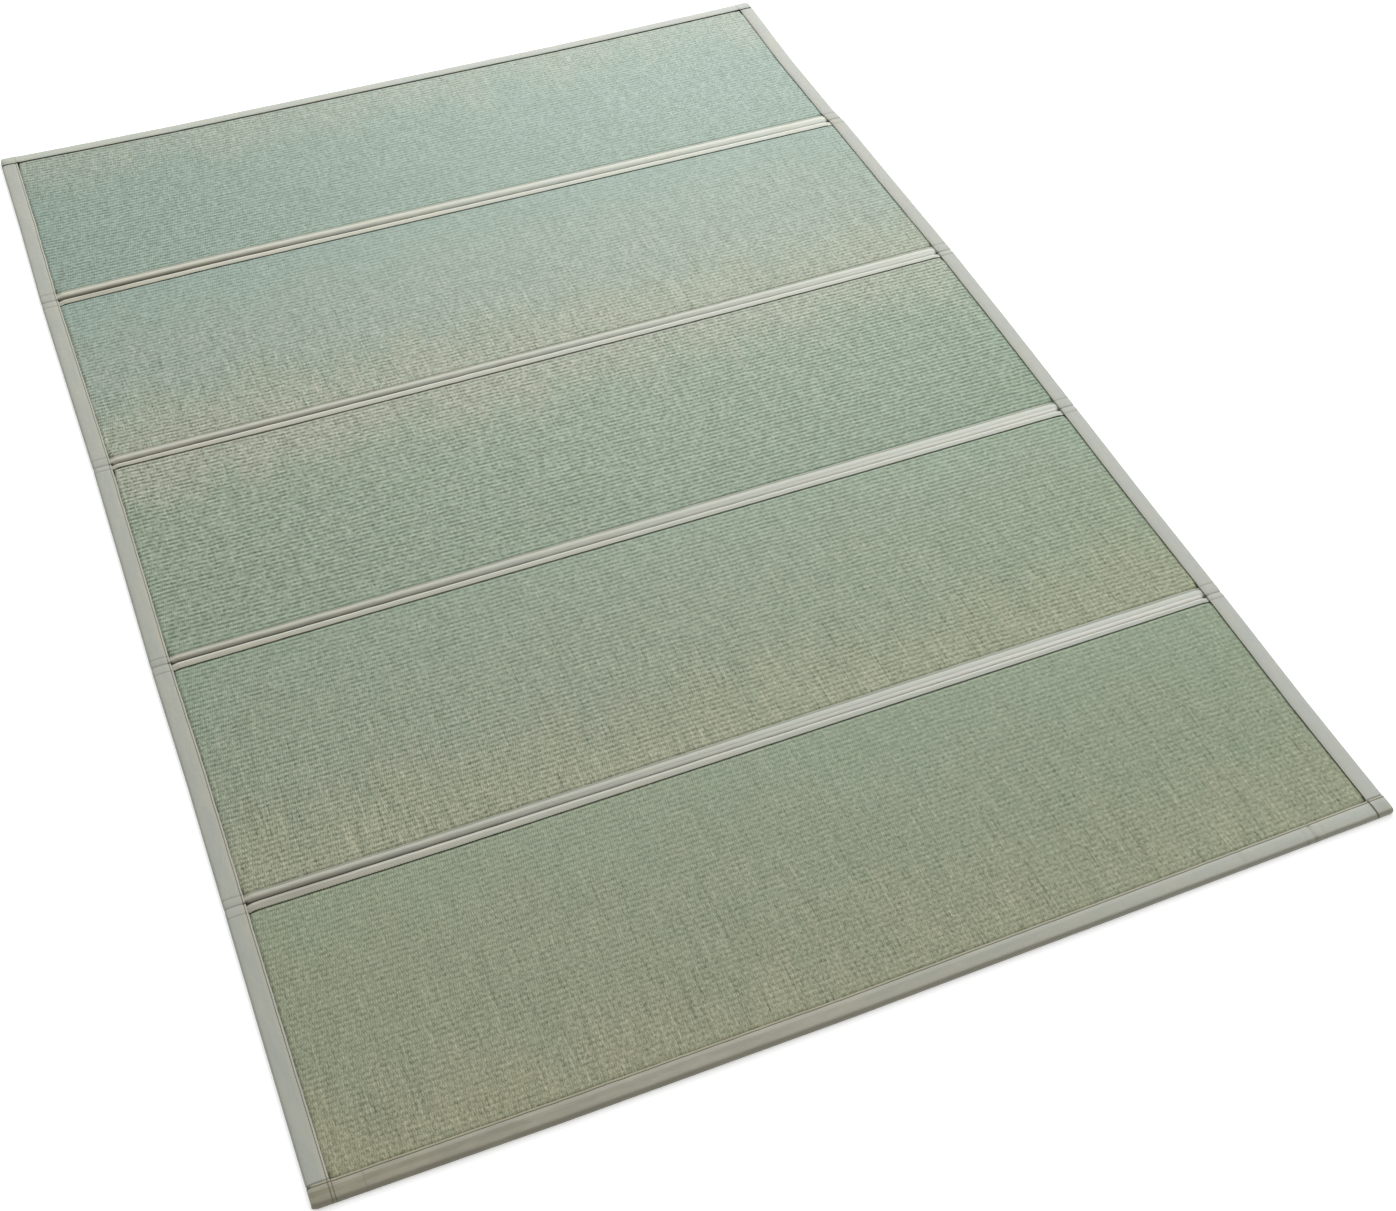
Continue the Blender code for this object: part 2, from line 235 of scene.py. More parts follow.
# Rush: stalks lie front to back over and under the cotton warps, so each band shows every other stalk
rush = {
    "stalkPitch": 2.8,
    "bandPitch": 7.38,
    # each panel's colour at its back, in its middle and at its front
    "colours": (
        (rgb(0.207, 0.249, 0.201), rgb(0.168, 0.231, 0.194), rgb(0.162, 0.224, 0.184)),
        (rgb(0.171, 0.233, 0.193), rgb(0.183, 0.234, 0.186), rgb(0.214, 0.238, 0.172)),
        (rgb(0.217, 0.242, 0.182), rgb(0.166, 0.221, 0.157), rgb(0.160, 0.213, 0.148)),
        (rgb(0.167, 0.221, 0.154), rgb(0.173, 0.212, 0.141), rgb(0.207, 0.224, 0.143)),
        (rgb(0.177, 0.220, 0.142), rgb(0.182, 0.212, 0.136), rgb(0.213, 0.222, 0.137)),
    ),
    # strength of the streaks, the bands and the flecks at each panel's back and at its front
    "streaks": ((0.70, 0.35), (0.40, 1.20), (0.80, 0.35), (0.45, 1.25), (0.50, 1.10)),
    "bands": ((1.50, 1.75), (1.30, 1.90), (2.15, 1.95), (1.55, 1.15), (0.80, 0.55)),
    "flecks": ((1.10, 0.75), (0.80, 1.50), (1.10, 0.60), (0.90, 1.95), (1.60, 2.50)),
    # each panel's colour is multiplied by these at its left and at its right; at the front right the tint is
    # bluer, partly a painted reflection of the sky
    "leftTint": (
        (0.970, 0.955, 0.940), (1.010, 1.000, 1.000), (1.055, 1.010, 1.005), (0.985, 0.960, 0.960),
        (0.990, 0.945, 0.920),
    ),
    "rightTintAndReflection": (
        (0.950, 0.970, 0.965), (0.955, 0.975, 0.975), (0.975, 1.010, 0.995), (1.050, 1.075, 1.055),
        (1.040, 1.090, 1.120),
    ),
    # and by this halfway between its sides
    "middleLight": (1.035, 1.00, 0.965, 0.955, 0.95),
    # how much red, green and blue each follow the light and dark of the weave
    "spread": (1.14, 1.0, 1.22),
    "straw": rgb(0.270, 0.260, 0.165),
    # noises: how fine they are a mm across the stalks and a mm along them, seed, detail, roughness
    "field": (0.013, 0.0035, 0.0, 3.0, 0.6),
    "sway": (0.05, 0.02, 0.0, 3.0, 0.5),
    "strand": (0.40, 0.013, 5.1, 3.0, 0.7),
    "parting": (0.36, 0.011, 11.3, 3.0, 0.7),
    "fleck": (0.27, 0.21, 0.0, 3.0, 0.70),
    # the same for how high a stalk arches and how deep it dives, but a band along the stalks
    "rise": (0.10, 3.7, 2.0, 2.0, 0.7),
    "fall": (0.12, 4.3, 8.0, 2.0, 0.7),
    # the noise values between which each of them sets in
    "backFrom": (0.60, 1.0),
    "frontFrom": (0.55, 1.0),
    "strandFrom": (0.50, 0.68),
    "partingFrom": (0.54, 0.68),
    "riseFrom": (0.40, 0.62),
    "fallFrom": (0.36, 0.60),
    "fieldShift": 0.7,          # how far the fields reach, in depths of the panel
    "swayWidth": 1.6,           # how far a stalk strays, in stalks
    "strawShare": 0.26,
    # light and dark
    "mean": 0.985,
    # painted highlight on each band's top and painted shade in the dip between bands
    "crestHighlight": 0.20,         # how much lighter the top of a band is
    "valleyShade": 0.30,         # and how much darker the dip between two bands
    "fleckLight": (0.70, 0.30),     # everywhere, and more with the strength of the bands
    "stalkLight": 0.14,         # from one stalk to the next
    # painted highlight and shade across each stalk's round back
    "stalkRoundShading": 0.12,
    "meanArch": 0.64,           # mean height of a stalk's round back
    "strawLight": 0.22,
    "partingDark": 0.28,
    "roughness": 0.50,
    "fleckRoughness": 0.2,
    "stalkRoughness": 0.12,
    "bumps": 0.34,              # mm, shared out by the next three
    "stalkBump": (0.55, 0.45),  # everywhere, and more on a band's top
    "jitterBump": 0.5,
    "fleckBump": 1.2,
}


# what a pair (at the back, at the front) comes to at a depth from 0 at the front to 1 at the back
def alongDepth(pair, depthPart):
    back, front = pair
    return front + (back - front) * depthPart


def rushMaterial(name, panel):
    material, patch = newMaterial(name)
    back, middle, front = rush["colours"][panel]
    place = patch.split(patch.objectPlace())
    x = place.out("X") * 1000
    y = place.out("Y") * 1000
    depthPart = patch.split(patch.node("ShaderNodeUVMap", {"uv_map": "panel"})).out("Y")
    bands = patch.attribute("bandPlace")

    # large soft fields of greener and browner stalks
    drift = depthPart + (patch.grain(x, y, rush["field"]) - 0.5) * rush["fieldShift"]
    colour = patch.blend(patch.step(drift, *rush["backFrom"]), middle, back)
    colour = patch.blend(patch.step(1 - drift, *rush["frontFrom"]), colour, front)
    acrossPart = x / (2000 * mat["halfWidth"]) + 0.5
    # tint from left to right, with a painted sky reflection at the front right
    tint = patch.blend(acrossPart, rgb(*rush["leftTint"][panel]), rgb(*rush["rightTintAndReflection"][panel]))
    colour = patch.multiply(colour, tint)

    # the stalk that lies on top here: every other one, by turns in each band
    band = bands.do("FLOOR")
    dip = (bands + 0.5).do("FLOOR")
    turn = band.do("FLOORED_MODULO", 2.0)
    sway = patch.grain(x, y, rush["sway"])
    stalkPlace = x / rush["stalkPitch"] + turn * 0.5 + sway * rush["swayWidth"]
    stalk = stalkPlace.do("FLOOR") * 2 + turn
    across = stalkPlace.do("FRACT")
    jitter = patch.node("ShaderNodeTexWhiteNoise", {"noise_dimensions": "2D"},
                        {"Vector": patch.vector(stalk, band)})
    streaks = alongDepth(rush["streaks"][panel], depthPart)
    contrast = alongDepth(rush["bands"][panel], depthPart)
    flecks = alongDepth(rush["flecks"][panel], depthPart)
    pale = patch.step(patch.grain(x, y, rush["strand"]), *rush["strandFrom"]) * streaks
    parting = patch.step(patch.grain(x, y, rush["parting"]), *rush["partingFrom"]) * streaks
    colour = patch.blend(pale * rush["strawShare"], colour, rush["straw"])

    # round stalks arch over the band's middle and dive under the warps, some more than others; the arches are
    # painted lighter and the dives darker, as painted highlight and shade
    swell = 0.5 - (bands * (2 * math.pi)).do("COSINE") * 0.5
    rise = swell * swell * patch.step(patch.grain(x, band, rush["rise"]), *rush["riseFrom"])
    fall = 1 - swell
    fall = fall * fall * patch.step(patch.grain(x, dip, rush["fall"]), *rush["fallFrom"])
    fleck = patch.grain(x, y, rush["fleck"])
    roundStalk = (across * math.pi).do("SINE")
    always, withBands = rush["fleckLight"]
    tone = rush["mean"] + (rise * rush["crestHighlight"] - fall * rush["valleyShade"]) * contrast
    tone = tone + (fleck - 0.5) * (always + withBands * contrast) * flecks
    tone = tone + (jitter - 0.5) * rush["stalkLight"]
    # painted highlight along each stalk's middle, shade at its sides
    tone = tone + (roundStalk - rush["meanArch"]) * rush["stalkRoundShading"]
    tone = tone + pale * rush["strawLight"] - parting * rush["partingDark"]
    tones = patch.vector(*[1 + (tone - 1) * spread for spread in rush["spread"]])
    colour = patch.multiply(colour, tones)
    arch = acrossPart * (1 - acrossPart) * 4
    colour = patch.shade(colour, 1 + arch * (rush["middleLight"][panel] - 1))

    roughness = rush["roughness"] + (fleck - 0.5) * rush["fleckRoughness"]
    roughness = roughness + (jitter - 0.5) * rush["stalkRoughness"]
    always, withSwell = rush["stalkBump"]
    height = roundStalk * (always + withSwell * swell) + (jitter - 0.5) * rush["jitterBump"]
    height = (height + fleck * rush["fleckBump"]) * rush["bumps"] * mm
    changing = {"Base Color": colour, "Roughness": roughness}
    finishMaterial(patch, {"Specular IOR Level": 0.5}, changing, height)
    return material


# Cloth tape: a close plain weave, pressed and a little creased. Bands run along a tape at a distance in mm
# from its upper edge: from, to, softness, colour, share of that colour. The share can be a pair, for the
# tape's two ends: front and back of a side tape, left and right of any other.
cloth = {
    "threadPitch": 0.55,
    "warm": rgb(0.360, 0.335, 0.250),
    # painted shade in creases, wrinkles and along the gaps, and darker marks of wear
    "wearAndShadeColour": rgb(0.085, 0.072, 0.045),
    # painted shadow: in the gaps between folds, in corner notches and under a tape's edge
    "gapShadow": rgb(0.040, 0.034, 0.022),
    # how much nearer to its right end every place on a tape counts, for a metre further to the front
    "lean": 0.55,
    # noises: how fine they are a mm along the tape and a mm across it, seed, detail, roughness
    "cloud": (0.014, 0.05, 0.0, 3.0, 0.6),
    "waver": (0.11, 0.0, 3.3, 2.0, 0.5),
    "slub": (0.35, 1.4, 0.0, 2.0, 0.5),
    "crease": (0.09, 0.16, 0.0, 2.0, 0.5),
    "cloudFrom": (0.42, 0.75),
    "warmShare": 0.40,
    "bandWaver": 0.5,           # mm
    # light and dark
    "mean": 0.96,
    "slubLight": 0.14,
    "weaveLight": 0.05,
    "cloudLight": 0.20,
    # bumps, in mm
    "weaveBump": 0.05,
    "slubBump": 0.14,
    "creaseBump": 0.6,
    "roughness": 0.78,
    "slubRoughness": 0.1,
}
# painted shade: in the stitch grooves, along a tape's edge and on faces turned from the light
paintedShade = rgb(0.080, 0.070, 0.045)
# painted highlight on a tape's raised edge
ridgeHighlight = rgb(0.430, 0.420, 0.360)
# painted highlight on a fold's crown
crownHighlight = rgb(0.560, 0.560, 0.500)
flangeDark = rgb(0.220, 0.240, 0.180)
# painted light on the folds at a joint's gap, which lie in shade; a negative share paints them darker
foldPaintedLight = rgb(0.780, 0.770, 0.700)
beige = rgb(0.350, 0.330, 0.265)
looksOfCloth = {
    # colour at the left, colour at the right, how much lighter it gets over a metre backward, bands
    "leftSide": (rgb(0.314, 0.327, 0.287), rgb(0.314, 0.327, 0.287), -0.015, (
        (0.0, 0.35, 0.3, paintedShade, 0.75), (0.9, 2.1, 0.5, ridgeHighlight, (0.60, 0.90)),
        (2.95, 3.5, 0.35, paintedShade, (0.85, 0.60)), (3.9, 7.0, 1.2, beige, (0.50, 0.15)),
        (25.5, 34.0, 1.5, paintedShade, 0.28),
    )),
    "rightSide": (rgb(0.354, 0.370, 0.339), rgb(0.354, 0.370, 0.339), -0.06, (
        (0.0, 0.6, 0.4, cloth["gapShadow"], (1.0, 0.25)), (2.95, 3.5, 0.35, paintedShade, 0.30),
        (3.9, 9.0, 2.0, beige, 0.20), (25.5, 34.0, 1.5, paintedShade, 0.28),
    )),
    "back": (rgb(0.350, 0.374, 0.322), rgb(0.364, 0.384, 0.355), 0.0, (
        (0.0, 1.0, 0.4, cloth["gapShadow"], 1.0), (2.95, 3.6, 0.35, paintedShade, 0.25),
        (25.5, 34.0, 1.5, paintedShade, 0.25),
    )),
    "front": (rgb(0.199, 0.187, 0.129), rgb(0.376, 0.400, 0.358), 0.0, (
        # painted highlight on the front tape's raised edge, between lines of painted shade
        (0.0, 0.3, 0.3, paintedShade, 0.6), (0.6, 2.4, 0.6, rgb(0.400, 0.375, 0.265), 0.60),
        (2.95, 3.6, 0.4, paintedShade, 0.85), (4.6, 8.5, 1.5, ridgeHighlight, 0.30), (18.0, 25.0, 4.0, beige, 0.30),
        # painted shade on the front tape's outer face, turned from the light
        (25.0, 40.0, 4.0, rgb(0.120, 0.112, 0.080), 0.66),
    )),
    "farJoint": (rgb(0.352, 0.354, 0.290), rgb(0.478, 0.515, 0.462), 0.06, (
        (0.0, 3.2, 0.8, flangeDark, 0.50), (3.4, 4.1, 0.5, paintedShade, 0.26),
        (5.5, 9.0, 1.5, crownHighlight, 0.22), (10.5, 14.5, 2.0, paintedShade, 0.08),
        (12.0, 17.5, 1.5, foldPaintedLight, (-0.45, 0.80)), (16.0, 24.0, 1.5, cloth["gapShadow"], (1.10, -0.30)),
    )),
    "nearJoint": (rgb(0.318, 0.320, 0.255), rgb(0.478, 0.518, 0.468), 0.09, (
        (0.0, 0.5, 0.4, cloth["gapShadow"], 0.95), (3.8, 7.0, 1.2, beige, 0.38),
        (8.8, 11.8, 0.9, crownHighlight, 0.50), (16.0, 24.0, 1.5, cloth["gapShadow"], (1.05, -0.30)),
    )),
}


def clothMaterial(name, look):
    material, patch = newMaterial(name)
    lowColour, highColour, backward, bands = look
    onTape = patch.split(patch.node("ShaderNodeUVMap", {"uv_map": "tape"}))
    along = onTape.out("X") * 1000
    across = onTape.out("Y") * 1000
    onMat = patch.split(patch.objectPlace())
    objectX = onMat.out("X")
    objectY = onMat.out("Y")
    if name.endswith("Side"):
        endPart = objectY / (2 * mat["halfDepth"]) + 0.5
    else:
        endPart = objectX / (2 * mat["halfWidth"]) + 0.5 - objectY * cloth["lean"]
    wearAndShade, gapShadow, calm = [patch.attribute(kind) for kind in ("wearAndShade", "gapShadow", "calm")]
    colour = patch.blend((objectX + mat["halfWidth"]) / (2 * mat["halfWidth"]), lowColour, highColour)
    cloud = patch.grain(along, across, cloth["cloud"])
    colour = patch.blend(patch.step(cloud, *cloth["cloudFrom"]) * cloth["warmShare"], colour, cloth["warm"])
    waver = patch.grain(along, across, cloth["waver"])
    place = across + (waver - 0.5) * cloth["bandWaver"]
    # bands paint shade and highlight: dark edges, grooves, gaps and faces turned from the light, light
    # ridges, crowns and folds
    for start, end, soft, tint, share in bands:
        inside = 1 - patch.step(place, end, end + soft)
        if start > 0.0:
            inside = patch.step(place, start - soft, start) * inside
        shareLow, shareHigh = share if isinstance(share, tuple) else (share, share)
        shareHere = (shareLow + (shareHigh - shareLow) * endPart).do("MAXIMUM", 0.0)
        colour = patch.blend(inside * (1 - calm) * shareHere, colour, tint)
    # painted shade in creases, wrinkles and along the gaps, together with darker marks
    colour = patch.blend(wearAndShade, colour, cloth["wearAndShadeColour"])
    # painted shadow in the gaps, the notches and under the tapes' edges
    colour = patch.blend(gapShadow, colour, cloth["gapShadow"])
    slub = patch.grain(along, across, cloth["slub"])
    turns = 2 * math.pi / cloth["threadPitch"]
    weave = (along * turns).do("SINE") * (across * turns).do("SINE")
    tone = cloth["mean"] + backward * objectY + (slub - 0.5) * cloth["slubLight"]
    tone = tone + weave * cloth["weaveLight"] + (cloud - 0.5) * cloth["cloudLight"]
    crease = patch.grain(along, across, cloth["crease"])
    height = weave * cloth["weaveBump"] + slub * cloth["slubBump"] + crease * cloth["creaseBump"]
    roughness = cloth["roughness"] + (slub - 0.5) * cloth["slubRoughness"]
    finishMaterial(patch, {"Specular IOR Level": 0.35, "Sheen Weight": 0.15, "Sheen Roughness": 0.5},
                   {"Base Color": patch.shade(colour, tone), "Roughness": roughness}, height * mm)
    return material


# One colour with fine specks a little darker and lighter than it
def plainMaterial(name, colour, roughness, fineness, glow=0.0):
    material, patch = newMaterial(name)
    tone = 0.94 + patch.noise(patch.shade(patch.objectPlace(), fineness)) * 0.12
    finishMaterial(patch, {"Roughness": roughness, "Emission Color": colour, "Emission Strength": glow},
                   {"Base Color": patch.shade(colour[:3], tone)})
    return material


def addMesh(name, verts, faces, uvName=None, uvs=None):
    mesh = bpy.data.meshes.new(name)
    mesh.from_pydata([tuple(vert) for vert in verts], [], faces)
    if uvs is not None:
        layer = mesh.uv_layers.new(name=uvName)
        corners = np.empty(len(mesh.loops), dtype=np.int32)
        mesh.loops.foreach_get("vertex_index", corners)
        layer.data.foreach_set("uv", np.asarray(uvs, dtype=np.float32)[corners].ravel())
    mesh.update()
    obj = bpy.data.objects.new(name, mesh)
    bpy.context.collection.objects.link(obj)
    return obj


def addValues(obj, name, values):
    obj.data.attributes.new(name, "FLOAT", "POINT").data.foreach_set("value", values)


# Replaces an object's mesh by what its modifiers make of it
def applyModifiers(obj):
    depsgraph = bpy.context.evaluated_depsgraph_get()
    mesh = bpy.data.meshes.new_from_object(obj.evaluated_get(depsgraph), depsgraph=depsgraph)
    old = obj.data
    obj.modifiers.clear()
    obj.data = mesh
    mesh.name = obj.name
    bpy.data.meshes.remove(old)


# Node group that takes a geometry, these numbers and a material
def newGeometryTree(name, numbers):
    tree = bpy.data.node_groups.new(name, "GeometryNodeTree")
    tree.interface.new_socket("Geometry", in_out="INPUT", socket_type="NodeSocketGeometry")
    for label in numbers:
        tree.interface.new_socket(label, in_out="INPUT", socket_type="NodeSocketFloat")
    tree.interface.new_socket("Material", in_out="INPUT", socket_type="NodeSocketMaterial")
    tree.interface.new_socket("Geometry", in_out="OUTPUT", socket_type="NodeSocketGeometry")
    start = tree.nodes.new("NodeGroupInput")
    patch = Patch(tree)
    wires = {socket.name: Wire(patch, socket) for socket in start.outputs if socket.name}
    return tree, patch, wires


def runGeometryTree(obj, tree, values):
    modifier = obj.modifiers.new(tree.name, "NODES")
    modifier.node_group = tree
    for item in tree.interface.items_tree:
        if item.in_out == "INPUT" and item.name in values:
            modifier[item.identifier] = values[item.name]
    applyModifiers(obj)


panelSettings = {
    "top": 8.2,
    "relief": (0.42, 0.44, 0.46, 0.32, 0.15),
    "wobble": 0.75,
    "lumps": 0.40,
    # noises: how fine they are a metre both ways, seed, detail, roughness
    "bend": (30.0, 14.0, 0.0, 3.0, 0.6),
    "lump": (85.0, 190.0, 3.7, 2.0, 0.6),
    "strongFrom": (0.38, 0.62),
    "strength": (0.25, 1.5),    # of the relief: everywhere, and more where the lumps are
    "pressedTop": 7.1,          # where a tape's edge lies on the rush
    "cornerTop": 4.5,           # and where a tucked tape crosses it
    "cornerReach": 12.0,
    "pressReach": 3.5,
    "freeReach": 4.0,
    "columnStep": 8.0,
    "rowsPerBand": 4,
    "endRows": (0.5, 1.0),
    "edgeSteps": (0.0, 0.5, 1.1, 1.9, 3.0, 4.5, 7.0, 10.0, 13.0),
    # hidden rim inside the tapes: part of the tape's width, mm beyond that, height, corner cut
    "rim": (
        (0.70, 0.0, 4.6, 2.0), (0.0, 5.0, 4.2, 11.0), (0.0, 5.0, 2.7, 11.0), (0.66, 0.0, 2.7, 2.0),
        (0.85, 0.0, 0.0, 2.0),
    ),
}


# Woven face: raises the bands of a flat panel, less so where the tape presses it down
def weaveTree():
    tree, patch, wires = newGeometryTree("wovenBands", ("Relief", "Wobble", "Lumps"))
    bands, free = [
        patch.node("GeometryNodeInputNamedAttribute", {"data_type": "FLOAT"}, {"Name": name})
        for name in ("bands", "free")
    ]
    place = patch.split(patch.node("GeometryNodeInputPosition"))
    x = place.out("X")
    y = place.out("Y")
    bend = patch.grain(x, y, panelSettings["bend"])
    lump = patch.grain(x, y, panelSettings["lump"])
    strong = patch.step(lump, *panelSettings["strongFrom"])
    everywhere, withLumps = panelSettings["strength"]
    bandPlace = bands + (bend - 0.5) * wires["Wobble"]
    swell = (bandPlace * (2 * math.pi)).do("COSINE") * -0.5
    lift = swell * wires["Relief"] * (everywhere + withLumps * strong)
    lift = (lift + (lump - 0.5) * wires["Lumps"]) * free
    named = patch.node("GeometryNodeStoreNamedAttribute", {"data_type": "FLOAT", "domain": "POINT"}, {
        "Geometry": wires["Geometry"], "Name": "bandPlace", "Value": bandPlace,
    })
    raised = patch.node("GeometryNodeSetPosition", None, {
        "Geometry": named, "Offset": patch.vector(0.0, 0.0, lift),
    })
    done = patch.node("GeometryNodeSetMaterial", None, {"Geometry": raised, "Material": wires["Material"]})
    patch.node("NodeGroupOutput", None, {"Geometry": done})
    return tree


def panelSides(panel, partIn, beyond):
    sideInset = (partIn * mat["sideWidth"] + beyond) * mm

    def left(y):
        return leftX(y) + sideInset

    def right(y):
        return rightX(y) - sideInset

    def front(x):
        line = panel + 1
        return lineY(line, x) + partIn * tapeWidth(line, "far", x) + halfGap(line) + beyond * mm

    def back(x):
        return lineY(panel, x) - partIn * tapeWidth(panel, "near", x) - halfGap(panel) - beyond * mm

    return left, right, front, back


def sunkBy(distance, alongEdge, edgeLength):
    s = panelSettings
    near = min(alongEdge, edgeLength - alongEdge)
    deepest = s["top"] - s["pressedTop"]
    if near < s["cornerReach"] * mm:
        deepest += (s["pressedTop"] - s["cornerTop"]) * (1 - near / (s["cornerReach"] * mm))
    part = 1 - distance / (s["pressReach"] * mm)
    return deepest * ease(part)


def buildPanel(panel, tree):
    s = panelSettings
    left, right, front, back = panelSides(panel, 1.0, 0.0)
    depth = back(0.0) - front(0.0)
    bandCount = round(depth / (rush["bandPitch"] * mm))
    edgeSteps = [step * mm for step in s["edgeSteps"]]
    width = right(0.0) - left(0.0)
    inner = int((width - 2 * edgeSteps[-1]) / (s["columnStep"] * mm))
    rowCount = bandCount * s["rowsPerBand"]
    rowParts = {row / rowCount for row in range(rowCount + 1)}
    for step in s["endRows"]:
        rowParts |= {step * mm / depth, 1 - step * mm / depth}
    verts, uvs, bands, free = [], [], [], []
    for part in sorted(rowParts):
        middleY = front(0.0) + part * depth
        low, high = left(middleY), right(middleY)
        start, end = low + edgeSteps[-1], high - edgeSteps[-1]
        xs = [low + step for step in edgeSteps]
        xs += [start + (end - start) * number / inner for number in range(1, inner)]
        xs += [high - step for step in reversed(edgeSteps)]
        for x in xs:
            y = front(x) + part * (back(x) - front(x))
            toSide = min(x - low, high - x)
            toEnd = min(y - front(x), back(x) - y)
            sunk = max(sunkBy(toSide, y - front(x), depth), sunkBy(toEnd, x - low, high - low))
            verts.append((x, y, (s["top"] - sunk) * mm))
            uvs.append((x, part))
            bands.append(part * bandCount)
            free.append(ease(toSide / (s["freeReach"] * mm)) * ease(toEnd / (s["freeReach"] * mm)))
    columns = len(xs)
    rows = len(rowParts)
    faces = []
    for row in range(rows - 1):
        for column in range(columns - 1):
            first = row * columns + column
            faces.append((first, first + 1, first + 1 + columns, first + columns))

    # the hidden rim goes on from the face's outline, run by run: front, right, back, left
    runs = (
        list(range(columns)),
        [row * columns + columns - 1 for row in range(rows)],
        [(rows - 1) * columns + column for column in reversed(range(columns))],
        [row * columns for row in reversed(range(rows))],
    )
    ring = [index for run in runs for index in run]
    for partIn, beyond, height, cut in s["rim"]:
        rimLeft, rimRight, rimFront, rimBack = panelSides(panel, partIn, beyond)
        frontY, backY = rimFront(0.0), rimBack(0.0)
        nextRing = []
        for number, run in enumerate(runs):
            for step, index in enumerate(run):
                x, y = verts[index][0], verts[index][1]
                if number in (0, 2):
                    low = (rimLeft(frontY) if number == 0 else rimLeft(backY)) + cut * mm
                    high = (rimRight(frontY) if number == 0 else rimRight(backY)) - cut * mm
                    x = min(max(x, low), high)
                    if step in (0, len(run) - 1):
                        x = low if (step == 0) == (number == 0) else high
                    y = rimFront(x) if number == 0 else rimBack(x)
                else:
                    x = rimRight(y) if number == 1 else rimLeft(y)
                    low = rimFront(x) + cut * mm
                    high = rimBack(x) - cut * mm
                    y = min(max(y, low), high)
                    if step in (0, len(run) - 1):
                        y = low if (step == 0) == (number == 1) else high
                nextRing.append(len(verts))
                verts.append((x, y, height * mm))
                uvs.append((x, min(max((y - front(x)) / depth, 0.0), 1.0)))
                bands.append(0.0)
                free.append(0.0)
        for number in range(len(ring)):
            after = (number + 1) % len(ring)
            corners = [nextRing[number], nextRing[after], ring[after], ring[number]]
            if ring[after] == ring[number]:
                corners = corners[:3]
            faces.append(tuple(corners))
        ring = nextRing
    faces.append(tuple(reversed(ring)))

    name = "rush_%d" % (panel + 1)
    obj = addMesh(name, verts, faces, "panel", uvs)
    addValues(obj, "bands", bands)
    addValues(obj, "free", free)
    material = rushMaterial("rush_weave_%d" % (panel + 1), panel)
    obj.data.materials.append(material)
    runGeometryTree(obj, tree, {
        "Relief": s["relief"][panel] * mm, "Wobble": s["wobble"], "Lumps": s["lumps"] * mm,
        "Material": material,
    })
    obj.data.shade_smooth()
    return obj, (width, depth)


# Folded tapes. A fold is the tape's outer face from its lower edge round to its upper edge: inward, height.
jointFoldStart = (
    (8.0, 0.0), (5.0, 0.0), (3.4, 0.0), (1.8, 0.35), (0.7, 1.2), (0.15, 2.2), (0.0, 3.4), (0.2, 4.7),
    (0.8, 5.9), (1.8, 7.05), (3.2, 7.95), (5.0, 8.6), (7.0, 8.9),
)
tape = {
    "thickness": 1.0,
    "crown": 8.9,
    "stationStep": 6.5,
    "leastStep": 0.1,
    "wideFold": (
        (16.5, 0.0), (10.0, 0.0), (4.6, 0.0), (2.6, 0.3), (1.1, 1.2), (0.3, 2.4), (0.0, 3.8), (0.2, 5.2),
        (1.0, 6.5), (2.3, 7.6), (4.2, 8.25), (7.5, 8.65), (11.5, 8.85), (15.5, 8.9), (19.0, 8.85),
        (21.6, 8.65), (23.0, 8.2), (23.8, 7.95), (24.5, 8.3), (25.3, 8.65), (26.1, 8.55), (26.5, 8.0),
    ),
    "farFold": (
        *jointFoldStart, (9.0, 8.8), (10.5, 8.45), (11.6, 8.0), (12.4, 8.4), (13.3, 8.6), (14.0, 8.0),
    ),
    "nearFold": (
        *jointFoldStart, (9.0, 8.85), (10.8, 8.75), (12.2, 8.6), (13.1, 8.05), (13.6, 8.3), (14.0, 8.0),
    ),
    # unevenness: mm, how fine it is along the tape (a metre) and across it (a mm of the fold), seed
    "dents": ((0.28, 55, 0.09, 0.0), (0.10, 190, 0.25, 4.2)),
    # and of the upper edge: mm, how fine it is along the tape, seed
    "edgeSway": ((0.45, 34, 7.1), (0.22, 150, 2.6)),
    "gapSway": (0.25, 26, 9.4),     # mean, how fine it is along the tape, seed
    "looseFrom": 4.0,               # below this height the cloth lies more firmly
    "creaseEdge": 3,                # half widths from a crease to where it ends
    "seamAt": {"left": 23.8, "right": 25.6, "back": 25.6, "front": 23.8, "far": 11.6, "near": 13.1},
}


def smoothFit(fits, at):
    if at <= fits[0][0]:
        return fits[0][1:]
    for low, high in zip(fits, fits[1:]):
        if at <= high[0]:
            part = ease((at - low[0]) / (high[0] - low[0]))
            return [a + (b - a) * part for a, b in zip(low[1:], high[1:])]
    return fits[-1][1:]
